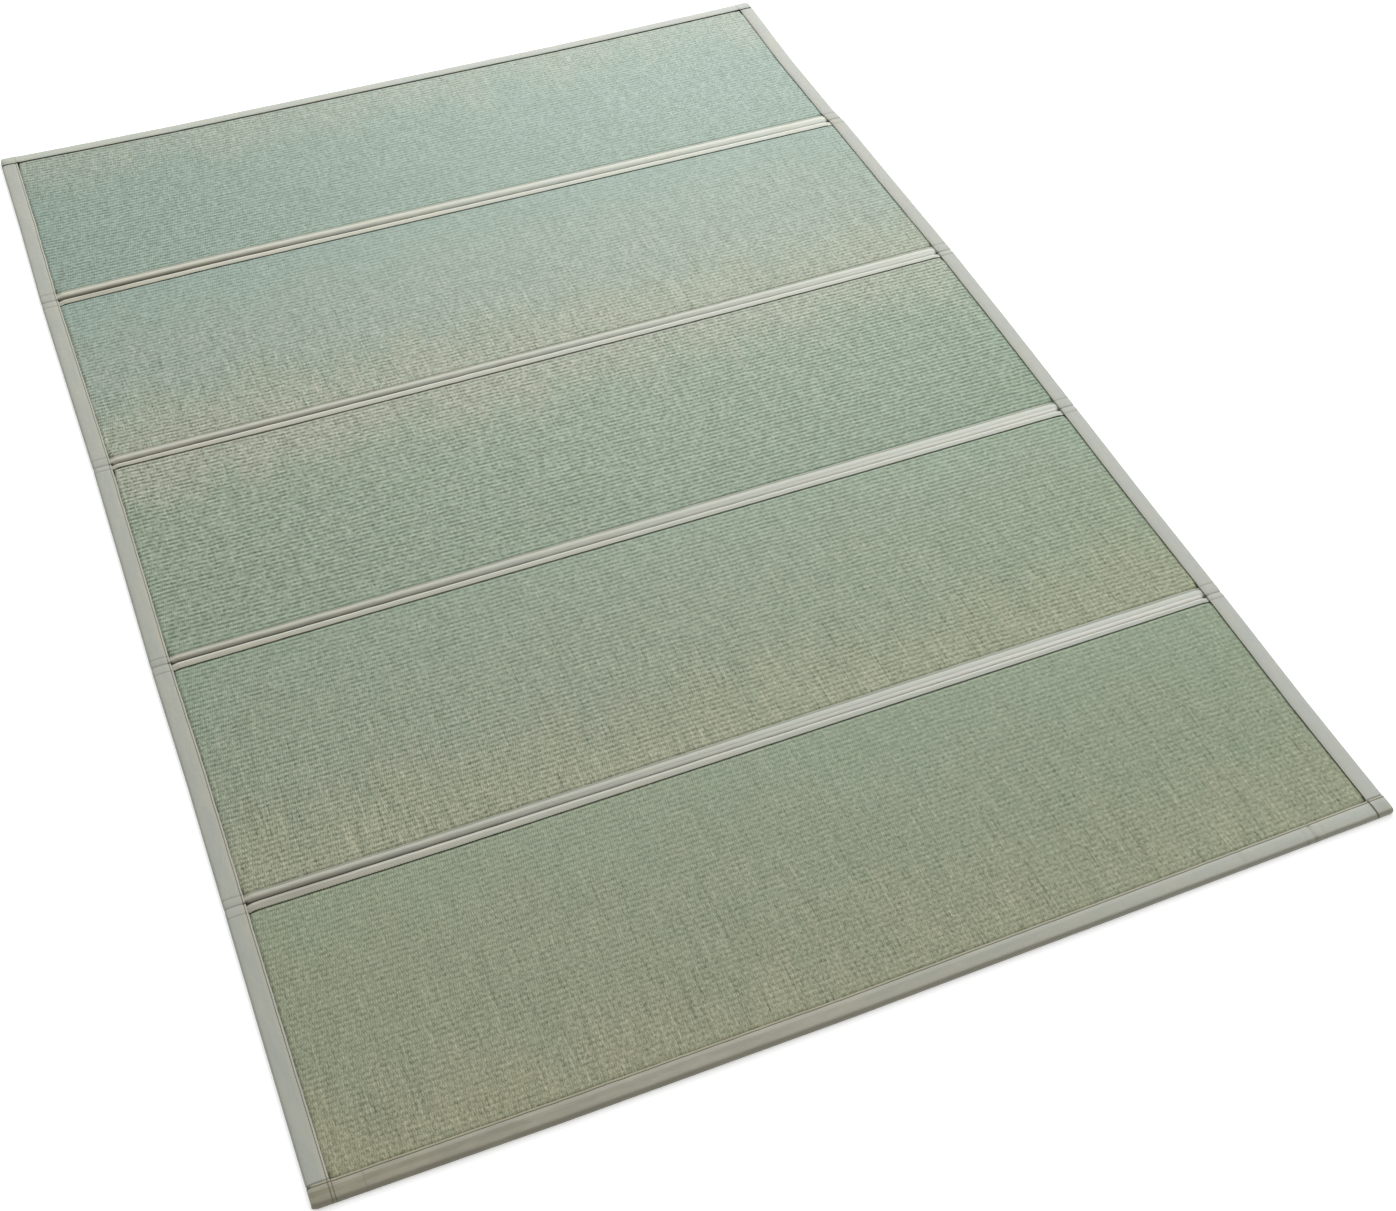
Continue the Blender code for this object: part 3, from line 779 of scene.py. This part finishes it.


# Makes one tape. Of these rows only the place is in metres.
# fits: place, height of the underside, height of the crown, how far the outer edge is drawn in
# creases: place, half width, depth, darkness of the painted shade in the crease
# marks: place, inward, half sizes both ways, darkness, kind (one of two: painted shade together with darker
# marks; painted shadow in gaps)
def foldedTape(name, fold, widthAt, fits, place, outward, material, extraStations=(), creases=(), marks=(),
               seed=0.0, gapWander=0.0, calmOutside=None):
    fits = sorted(fits)
    start, end = fits[0][0], fits[-1][0]
    count = math.ceil((end - start) / (tape["stationStep"] * mm))
    stations = {start + (end - start) * number / count for number in range(count + 1)}
    stations |= {fit[0] for fit in fits} | {at for at in extraStations if start < at < end}
    stations = sorted(stations)
    kept = [stations[0]]
    for at in stations[1:]:
        if at - kept[-1] > tape["leastStep"] * mm:
            kept.append(at)
    stations = kept
    fullWidth = fold[-1][0]
    fullHeight = max(height for inward, height in fold)
    swayMean, swayFine, swaySeed = tape["gapSway"]
    lengths = [0.0]
    for (a, b), (c, d) in zip(fold, fold[1:]):
        lengths.append(lengths[-1] + math.hypot(c - a, d - b) * mm)
    verts, uvs, wearAndShade, gapShadow = [], [], [], []
    for number, (inward, height) in enumerate(fold):
        upper = number / (len(fold) - 1)
        for at in stations:
            floor, crown, drawIn = smoothFit(fits, at)
            share = inward / fullWidth
            reach = share * widthAt(at) + drawIn * mm * (1 - share)
            level = floor + height / fullHeight * (crown - floor)
            dark = {"wearAndShade": 0.0, "gapShadow": 0.0}
            if height > 0.0:
                loose = ease(height / tape["looseFrom"])
                # a crease dips the cloth and is painted darker: painted shade in its hollow
                for creaseAt, creaseWidth, creaseDepth, creaseShade in creases:
                    off = (at - creaseAt) / (creaseWidth * mm)
                    if abs(off) < tape["creaseEdge"]:
                        level -= creaseDepth * math.exp(-off * off) * loose
                        dark["wearAndShade"] = max(dark["wearAndShade"], creaseShade * math.exp(-3 * off * off))
                for markAt, markInward, halfLong, halfWide, amount, kind in marks:
                    off = math.hypot((at - markAt) / (halfLong * mm), (inward - markInward) / halfWide)
                    dark[kind] = max(dark[kind], amount * math.exp(-off * off))
                for depth, fine, fineAcross, dentSeed in tape["dents"]:
                    level += depth * wander(at * fine + seed, inward * fineAcross, seed + dentSeed) * loose
                level = min(level, crown)
            sway = swayMean + wander(at * swayFine, seed, swaySeed)
            reach += gapWander * mm * max(0.0, sway) * (1 - share)
            if upper > 0.5:
                for amount, fine, swayedSeed in tape["edgeSway"]:
                    reach += amount * mm * wander(at * fine + seed, swayedSeed, seed) * share
            verts.append((*place(at, reach), max(level, 0.0) * mm))
            sag = max(tape["crown"] - crown, 0.0) * height / fullHeight * mm
            uvs.append((at + math.copysign(sag, at - (start + end) / 2), lengths[-1] - lengths[number]))
            wearAndShade.append(dark["wearAndShade"])
            gapShadow.append(dark["gapShadow"])
    faces = []
    span = len(stations)
    for row in range(len(fold) - 1):
        for column in range(span - 1):
            first = row * span + column
            faces.append((first, first + 1, first + 1 + span, first + span))
    calm = [1.0 if calmOutside and not calmOutside[0] < vert[0] < calmOutside[1] else 0.0 for vert in verts]
    developed = sum(
        math.dist(verts[row * span + column], verts[(row + 1) * span + column])
        for row in range(len(fold) - 1) for column in range(span)
    ) / span
    obj = addMesh(name, verts, faces, "tape", uvs)
    addValues(obj, "wearAndShade", wearAndShade)
    addValues(obj, "gapShadow", gapShadow)
    addValues(obj, "calm", calm)
    facing = sum(face.normal.dot(mathutils.Vector(outward)) * face.area for face in obj.data.polygons)
    if facing < 0:
        obj.data.flip_normals()
    obj.data.materials.append(material)
    thicken = obj.modifiers.new("Cloth", "SOLIDIFY")
    thicken.thickness = tape["thickness"] * mm
    thicken.offset = -1.0
    thicken.use_even_offset = True
    applyModifiers(obj)
    obj.data.shade_smooth()
    return obj, (developed, end - start), stations


# Topstitching: a bowed stitch at every pitch along a line of points
stitch = {
    "pitch": 4.0,
    "length": 3.2,
    "thread": 0.30,
    "rise": 0.32,
    # thread colour darkened to stand for the shade in the stitch grooves too: partly painted shade
    "colour": rgb(0.075, 0.068, 0.042),
    "paleColour": rgb(0.330, 0.325, 0.270),
    "roughness": 0.7,
    "fineness": 900.0,
    "sides": 4,
}


def stitchTree():
    numbers = ("Pitch", "Stitch Length", "Thread Radius", "Rise")
    tree, patch, wires = newGeometryTree("topstitch", numbers)
    half = wires["Stitch Length"] * 0.5
    bow = patch.node("GeometryNodeCurveQuadraticBezier", None, {
        "Resolution": stitch["sides"],
        "Start": patch.vector(half * -1, 0.0, wires["Rise"] * -1),
        "Middle": patch.vector(0.0, 0.0, wires["Rise"] * 2),
        "End": patch.vector(half, 0.0, wires["Rise"] * -1),
    })
    ring = patch.node("GeometryNodeCurvePrimitiveCircle", {"mode": "RADIUS"},
                      {"Resolution": stitch["sides"], "Radius": wires["Thread Radius"]})
    thread = patch.node("GeometryNodeCurveToMesh", None,
                        {"Curve": bow, "Profile Curve": ring, "Fill Caps": True})
    path = patch.node("GeometryNodeMeshToCurve", None, {"Mesh": wires["Geometry"]})
    points = patch.node("GeometryNodeCurveToPoints", {"mode": "LENGTH"},
                        {"Curve": path, "Length": wires["Pitch"]})
    turn = patch.node("FunctionNodeAlignRotationToVector", {"axis": "X"}, {"Vector": points.out("Tangent")})
    placed = patch.node("GeometryNodeInstanceOnPoints", None, {
        "Points": points, "Instance": thread, "Rotation": turn,
    })
    real = patch.node("GeometryNodeRealizeInstances", None, {"Geometry": placed})
    done = patch.node("GeometryNodeSetMaterial", None, {"Geometry": real, "Material": wires["Material"]})
    patch.node("NodeGroupOutput", None, {"Geometry": done})
    return tree


def stitchLine(name, lines, tree, material):
    points, edges = [], []
    for line in lines:
        edges += [(len(points) + number, len(points) + number + 1) for number in range(len(line) - 1)]
        points += line
    mesh = bpy.data.meshes.new(name)
    mesh.from_pydata(points, edges, [])
    obj = bpy.data.objects.new(name, mesh)
    bpy.context.collection.objects.link(obj)
    runGeometryTree(obj, tree, {
        "Pitch": stitch["pitch"] * mm, "Stitch Length": stitch["length"] * mm,
        "Thread Radius": stitch["thread"] * mm, "Rise": stitch["rise"] * mm, "Material": material,
    })
    obj.data.shade_smooth()
    return obj


aboveMat = 0.05


# Height of a made tape's top at a place, for what is sewn on it
def topAt(obj, x, y):
    hit, where = obj.ray_cast((x, y, aboveMat), (0.0, 0.0, -1.0))[:2]
    return where.z if hit else None


def seamPoints(obj, place, seamAt, stations, inside):
    points = []
    for at in stations:
        if inside[0] <= at <= inside[1]:
            x, y = place(at, seamAt(at))
            z = topAt(obj, x, y)
            if z is not None:
                points.append((x, y, z))
    return points


print("rush panels")
weaving = weaveTree()
for panelNumber in range(mat["panels"]):
    piece, size = buildPanel(panelNumber, weaving)
    node = "panel_%d" % (panelNumber + 1)
    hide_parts(node)
    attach(piece, "root")

print("cloth tapes")
clothOf = {name: clothMaterial("tape_" + name, look) for name, look in looksOfCloth.items()}
# the dark thread's colour is partly painted shade of the stitch grooves
darkThread = plainMaterial("topstitch_dark", stitch["colour"], stitch["roughness"], stitch["fineness"])
paleThread = plainMaterial("topstitch_pale", stitch["paleColour"], stitch["roughness"], stitch["fineness"])
sewing = stitchTree()

cornerFold = {
    "sideFloor": 1.3,
    "sideCrown": 7.6,
    "sideDrawIn": 1.5,
    "rise": 9.9,
    "ramp": 2.4,
    "lead": 0.4,
    # distance from the end, underside, crown, drawn in
    "sideEnd": ((5.5, 1.3, 6.9, 6.0), (13.0, 1.3, 7.6, 1.5)),
    "roundedEnd": (
        (0.0, 0.3, 1.5, 3.6), (0.3, 0.15, 4.4, 3.0), (0.7, 0.1, 6.6, 2.4), (1.3, 0.0, 8.4, 1.8),
        (2.2, 0.0, 9.3, 1.2), (6.0, 0.0, 9.9, 0.0),
    ),
    # the back right corner is rounder than the others
    "rounderEnd": (
        (0.0, 0.3, 1.5, 7.6), (0.4, 0.15, 4.6, 6.2), (0.9, 0.1, 6.8, 4.9), (1.6, 0.0, 8.5, 3.7),
        (2.8, 0.0, 9.4, 2.3), (5.0, 0.0, 9.8, 0.8), (8.0, 0.0, 9.9, 0.0),
    ),
    "backRightShort": 1.2,      # and the end tape stops this much short of the mat's side there
    # dark marks on the end tapes, painted shade in the corner notch, the seam line and the wrinkles, and
    # darker patches:
    # end, mm from the mat's side, inward, half sizes both ways, darkness, kind
    "marks": {
        "front": (
            (1, 2.5, 25.0, 2.6, 1.5, 0.95, "gapShadow"), (-1, 25.5, 13.0, 1.1, 22.0, 0.90, "gapShadow"),
            (-1, 12.0, 13.0, 11.0, 14.0, 0.14, "wearAndShade"), (-1, 118.0, 4.0, 3.2, 3.0, 0.55, "wearAndShade"),
            (-1, 131.0, 2.0, 3.0, 2.5, 0.35, "wearAndShade"), (-1, 118.0, 22.0, 3.0, 3.0, 0.40, "wearAndShade"),
            (-1, 0.8, 13.0, 0.9, 12.0, 0.45, "wearAndShade"),
        ),
        "back": ((1, 3.0, 20.0, 5.0, 5.0, 0.35, "wearAndShade"),),
    },
    # stretches with fine stations, from and to in mm from the end of the tape
    "fine": (0.5, 34.0),
    "wrinkleFine": ((55.0, 67.0), (90.0, 140.0)),
    # and on a side tape, from the mat's front and back edge
    "sideFine": (26.0, 33.0),
    "sideFineBack": (22.0, 29.0),
    "crossSeam": (2.0, 20.0),
    "crossSeamPoints": 13,
    "showingDepth": 0.40,
    "sewnFrom": 0.5,            # the darkness from which a seam that shows through is sewn too
    "seamInset": 2.0,
    "sideSeamInset": (27.0, 23.0),      # at the front and at the back
}
jointFold = {
    # darkness of the painted shade along each joint's gap, from the back
    "gapShading": (0.95, 0.42, 0.45, 0.50),
    "reach": 7.0,               # how far the side tape dips beside a joint
    "dip": 8.3,
    "drawIn": 0.5,
    "fine": 0.5,                # step between stations where the cloth is creased
    "fineReach": 3.0,
    "endReach": 14.0,
    "tuck": ((-8.0, 0.0, 6.7, 0.0), (0.5, 0.0, 6.7, 0.0), (11.0, 0.0, 8.9, 0.0)),
    # creases of the side tape over the gap, the far tape's edge and the near tape's edge: half width, depth
    # and darkness of the painted shade in the crease
    "creases": ((1.3, 0.8, 0.50), (1.4, 0.6, 0.32), (1.4, 0.55, 0.32)),
    # painted shadow in the side tape's upper edge over the gap: half sizes both ways, darkness, kind
    "sideGap": (1.8, 2.4, 0.9, "gapShadow"),
    "sideGapIn": 1.0,
    # painted shadows at the ends of the gap: inward, half sizes both ways, darkness, kind
    "gap": (1.0, 3.0, 2.5, 0.9, "gapShadow"),
    "gapIn": 0.5,
    "seamInset": 1.0,
    # painted shade along the gap: inward, half length; how wide it is on each tape, and how far from the left
    # it lies
    "gapShadeBand": (0.6, 420.0),
    "gapShadeWidth": {"far": 3.2, "near": 1.2},
    "gapShadeAt": 60.0,
    # a second, wider darkening by the gap on some near tapes, as "gap"
    "nearDarkening": (4.0, 70.0, 7.0, 0.30, "wearAndShade"),
    "nearDarkeningOn": (1, 4),
    "seed": {"far": 64.4, "near": 60.0},
    "seedStep": 9.7,
    "gapWander": 0.5,
}


def fromEnd(end, direction, fits):
    return [(end + direction * fit[0] * mm, *fit[1:]) for fit in fits]


# places every half millimetre from so many mm before a place to so many after it
def fineStations(place, before, after):
    count = int((before + after) / jointFold["fine"])
    return [place + (step * jointFold["fine"] - before) * mm for step in range(count + 1)]


# the same over a stretch, given as two distances from an end that the tape leaves in a direction
def stationsFrom(end, direction, stretch):
    low, high = stretch
    return fineStations(end, -low, high) if direction > 0 else fineStations(end, high, -low)


def makeTape(name, node, tapeArgs, seamShare, seamInside, thread, crossSeams=()):
    obj, size, stations = foldedTape(name, **tapeArgs)
    widthAt = tapeArgs["widthAt"]
    place = tapeArgs["place"]
    lines = [seamPoints(obj, place, lambda at: seamShare * widthAt(at), stations, seamInside)]
    for at, low, high in crossSeams:
        last = cornerFold["crossSeamPoints"] - 1
        steps = [low + (high - low) * number / last for number in range(last + 1)]
        spots = [place(at, inward * mm) for inward in steps]
        found = [(x, y, topAt(obj, x, y)) for x, y in spots]
        lines.append([point for point in found if point[2] is not None])
    sewn = stitchLine(name + "_stitch", lines, sewing, thread)
    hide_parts(node)
    for piece in (obj, sewn):
        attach(piece, "root")
    return obj


for name, edgeX, sign, seed in (("left", leftX, 1, 3.1), ("right", rightX, -1, 17.6)):
    middleX = edgeX(0.0) + sign * mat["sideWidth"] / 2 * mm
    fits = []
    for line, width, direction in ((mat["panels"], mat["frontWidth"], 1), (0, mat["backWidth"], -1)):
        covered = width + cornerFold["lead"]
        fits += fromEnd(lineY(line, middleX), direction, (
            *cornerFold["sideEnd"],
            (covered, cornerFold["sideFloor"], cornerFold["sideCrown"], cornerFold["sideDrawIn"]),
            (covered + cornerFold["ramp"], 0.0, tape["crown"], 0.0),
        ))
    creases = []
    marks = []
    dense = []
    for line in range(1, mat["panels"]):
        joint = lineY(line, middleX)
        reach = jointFold["reach"] * mm
        fits += [
            (joint - reach, 0.0, tape["crown"], 0.0), (joint, 0.0, jointFold["dip"], jointFold["drawIn"]),
            (joint + reach, 0.0, tape["crown"], 0.0),
        ]
        edges = (joint, joint + tapeWidth(line, "far", middleX), joint - tapeWidth(line, "near", middleX))
        creases += [(place, *crease) for place, crease in zip(edges, jointFold["creases"])]
        # painted shadow in the side tape's upper edge over each gap
        marks += [(joint, mat["sideWidth"] - jointFold["sideGapIn"], *jointFold["sideGap"])]
        for place in edges:
            dense += fineStations(place, jointFold["fineReach"], jointFold["fineReach"])
    frontEnd, backEnd = lineY(mat["panels"], middleX), lineY(0, middleX)
    dense += stationsFrom(frontEnd, 1, cornerFold["sideFine"])
    dense += stationsFrom(backEnd, -1, cornerFold["sideFineBack"])

    def sidePlace(at, inward, edgeX=edgeX, sign=sign):
        return edgeX(at) + sign * inward, at

    makeTape(
        "side_tape_" + name, "side_binding_" + name,
        {
            "fold": tape["wideFold"], "widthAt": lambda at: mat["sideWidth"] * mm, "fits": fits,
            "place": sidePlace, "outward": (-sign, 0.0, 0.0), "material": clothOf[name + "Side"],
            "extraStations": dense, "creases": creases, "marks": marks, "seed": seed,
        },
        tape["seamAt"][name] / tape["wideFold"][-1][0],
        (frontEnd + cornerFold["sideSeamInset"][0] * mm, backEnd - cornerFold["sideSeamInset"][1] * mm),
        darkThread,
    )

# seams of the side tapes that show through at the end tapes' corners, as dips with painted shade:
# end, mm from the mat's side, half width, darkness
showing = {
    "front": ((1, 23.3, 1.0, 0.80), (1, 27.3, 1.1, 0.85), (-1, 25.5, 1.8, 1.00)),
    "back": ((1, 24.5, 1.2, 0.30), (-1, 26.0, 1.0, 0.15)),
}
# wrinkles across the end tapes: end, mm from the mat's side, half width, depth, darkness of the painted shade
# in them
wrinkles = {
    "front": (
        (-1, 118.0, 3.6, 0.90, 0.16), (-1, 131.0, 3.6, 0.60, 0.05), (-1, 104.0, 3.5, 0.40, 0.05),
        (-1, 172.0, 5.0, 0.35, 0.05), (-1, 221.0, 4.0, 0.30, 0.10), (-1, 300.0, 6.0, 0.30, 0.0),
        (1, 61.0, 1.4, 0.35, 0.20), (1, 150.0, 5.0, 0.30, 0.05), (1, 262.0, 4.0, 0.30, 0.08),
    ),
    "back": ((1, 300.0, 5.0, 0.25, 0.05), (-1, 210.0, 4.0, 0.25, 0.05)),
}
for name, line, sign, seed in (("back", 0, -1, 31.3), ("front", mat["panels"], 1, 44.9)):
    edgeY = lineY(line, 0.0)
    covered = mat["sideWidth"] + cornerFold["lead"]
    leftEnd, rightEnd = leftX(edgeY), rightX(edgeY)
    if name == "back":
        rightEnd -= cornerFold["backRightShort"] * mm
    innerLeft, innerRight = leftEnd + mat["sideWidth"] * mm, rightEnd - mat["sideWidth"] * mm
    fits = []
    for end, direction in ((leftEnd, 1), (rightEnd, -1)):
        rounding = cornerFold["rounderEnd"] if name == "back" and direction < 0 else cornerFold["roundedEnd"]
        fits += fromEnd(end, direction, (
            *rounding, (covered, 0.0, cornerFold["rise"], 0.0),
            (covered + cornerFold["ramp"], 0.0, tape["crown"], 0.0),
        ))
    dense = stationsFrom(leftEnd, 1, cornerFold["fine"]) + stationsFrom(rightEnd, -1, cornerFold["fine"])
    if name == "front":
        onLeft, onRight = cornerFold["wrinkleFine"]
        dense += stationsFrom(leftEnd, 1, onLeft) + stationsFrom(rightEnd, -1, onRight)
    ends = {1: leftEnd, -1: rightEnd}
    shown = [(ends[side] + side * off * mm, width, dark) for side, off, width, dark in showing[name]]
    creases = [(at, width, cornerFold["showingDepth"], dark) for at, width, dark in shown]
    creases += [(ends[side] + side * off * mm, *rest) for side, off, *rest in wrinkles[name]]
    sewnPlaces = [at for at, width, dark in shown if dark > cornerFold["sewnFrom"]]
    crossSeams = [(at, *cornerFold["crossSeam"]) for at in sewnPlaces]
    marks = [(ends[side] + side * off * mm, *rest) for side, off, *rest in cornerFold["marks"][name]]
    seamInset = cornerFold["seamInset"] * mm

    def endPlace(at, inward, line=line, sign=sign):
        return at, lineY(line, at) + sign * inward

    makeTape(
        "end_tape_" + name, "end_binding_" + name,
        {
            "fold": tape["wideFold"], "widthAt": lambda at, line=line: tapeWidth(line, "far", at),
            "fits": fits, "place": endPlace, "outward": (0.0, -sign, 0.0), "material": clothOf[name],
            "extraStations": dense, "creases": creases, "marks": marks, "seed": seed,
            "calmOutside": (innerLeft, innerRight) if name == "back" else None,
        },
        tape["seamAt"][name] / tape["wideFold"][-1][0],
        (innerLeft, innerRight) if name == "back" else (leftEnd + seamInset, rightEnd - seamInset),
        darkThread,
        crossSeams,
    )

for line in range(1, mat["panels"]):
    for side, sign in (("far", 1), ("near", -1)):
        jointY = lineY(line, 0.0)
        innerLeft = leftX(jointY) + mat["sideWidth"] * mm
        innerRight = rightX(jointY) - mat["sideWidth"] * mm
        fits = fromEnd(innerLeft, 1, jointFold["tuck"]) + fromEnd(innerRight, -1, jointFold["tuck"])
        gapIn, seamInset = jointFold["gapIn"] * mm, jointFold["seamInset"] * mm
        # painted shadows at both ends of the gap
        marks = [(innerLeft + gapIn, *jointFold["gap"]), (innerRight - gapIn, *jointFold["gap"])]
        # painted shade along the gap
        gapShadeAt = innerLeft + jointFold["gapShadeAt"] * mm
        gapShading = jointFold["gapShading"][line - 1]
        marks.append((gapShadeAt, *jointFold["gapShadeBand"], jointFold["gapShadeWidth"][side], gapShading, "wearAndShade"))
        if side == "near" and line in jointFold["nearDarkeningOn"]:
            marks.append((gapShadeAt, *jointFold["nearDarkening"]))
        ending = (0.0, jointFold["endReach"])
        dense = stationsFrom(innerLeft, 1, ending) + stationsFrom(innerRight, -1, ending)

        def jointPlace(at, inward, line=line, sign=sign):
            return at, lineY(line, at) + sign * (halfGap(line) + inward)

        makeTape(
            "joint_tape_%d_%s" % (line, side), "joint_%d_%s" % (line, side),
            {
                "fold": tape[side + "Fold"], "fits": fits, "place": jointPlace, "outward": (0.0, -sign, 0.0),
                "widthAt": lambda at, line=line, side=side: tapeWidth(line, side, at),
                "material": clothOf[side + "Joint"], "extraStations": dense, "marks": marks,
                "seed": jointFold["seed"][side] + jointFold["seedStep"] * line,
                "gapWander": jointFold["gapWander"],
            },
            tape["seamAt"][side] / tape[side + "Fold"][-1][0],
            (innerLeft + seamInset, innerRight - seamInset),
            paleThread if side == "far" else darkThread,
        )

print("floor, light and camera")
studio = {
    "floorSize": 30.0,
    "floorHeight": -0.0002,     # just under the mat
    "floorColour": rgb(0.86, 0.86, 0.86),
    "floorGlow": 0.28,
    "floorRoughness": 0.9,
    "floorFineness": 3.0,
    "sky": rgb(1.0, 1.0, 1.0),
    "skyStrength": 0.95,
    "backLightAt": (1.6, 2.8, 2.3),
    "backLightSize": 2.6,
    "backLightPower": 133.0,
    "backLightColour": (1.0, 1.0, 0.99),
}

half = studio["floorSize"] / 2
floorCorners = [(x * half, y * half, studio["floorHeight"]) for x, y in ((-1, -1), (1, -1), (1, 1), (-1, 1))]
floor = addMesh("floor", floorCorners, [(0, 1, 2, 3)])
floor.data.materials.append(plainMaterial(
    "studio_floor", studio["floorColour"], studio["floorRoughness"], studio["floorFineness"],
    studio["floorGlow"],
))

world = bpy.data.worlds.new("studio")
world.use_nodes = True
bpy.context.scene.world = world
world.node_tree.nodes["Background"].inputs["Color"].default_value = studio["sky"]
world.node_tree.nodes["Background"].inputs["Strength"].default_value = studio["skyStrength"]


def softLight(name, at, aim, size, power, colour):
    lamp = bpy.data.lights.new(name, "AREA")
    lamp.shape = "DISK"
    lamp.size = size
    lamp.energy = power
    lamp.color = colour
    obj = bpy.data.objects.new(name, lamp)
    obj.location = at
    obj.rotation_euler = (mathutils.Vector(aim) - mathutils.Vector(at)).to_track_quat("-Z", "Y").to_euler()
    bpy.context.collection.objects.link(obj)


softLight("light_behind", studio["backLightAt"], (0.0, 0.0, 0.0), studio["backLightSize"],
          studio["backLightPower"], studio["backLightColour"])

view = {
    "at": (-0.7014, -2.0259, 1.9956),
    "aim": (0.0162, -0.3663, 0.0),
    "roll": 1.16,               # degrees, right side up
    "lens": 50.34,
}
camera = bpy.data.cameras.new("camera")
camera.lens = view["lens"]
camera.sensor_width = 36.0
cameraObject = bpy.data.objects.new("camera", camera)
cameraObject.location = view["at"]
turn = (mathutils.Vector(view["aim"]) - mathutils.Vector(view["at"])).to_track_quat("-Z", "Y")
roll = mathutils.Quaternion((0.0, 0.0, 1.0), math.radians(view["roll"]))
cameraObject.rotation_euler = (turn @ roll).to_euler()
bpy.context.collection.objects.link(cameraObject)
bpy.context.scene.camera = cameraObject
bpy.context.scene.view_settings.view_transform = "Standard"

pieces = [obj for obj in bpy.context.scene.objects if obj.type == "MESH" and obj is not floor]
triangles = {obj.name: sum(len(face.vertices) - 2 for face in obj.data.polygons) for obj in pieces}
print("triangles", sum(triangles.values()), "most in one piece", max(triangles.values()))
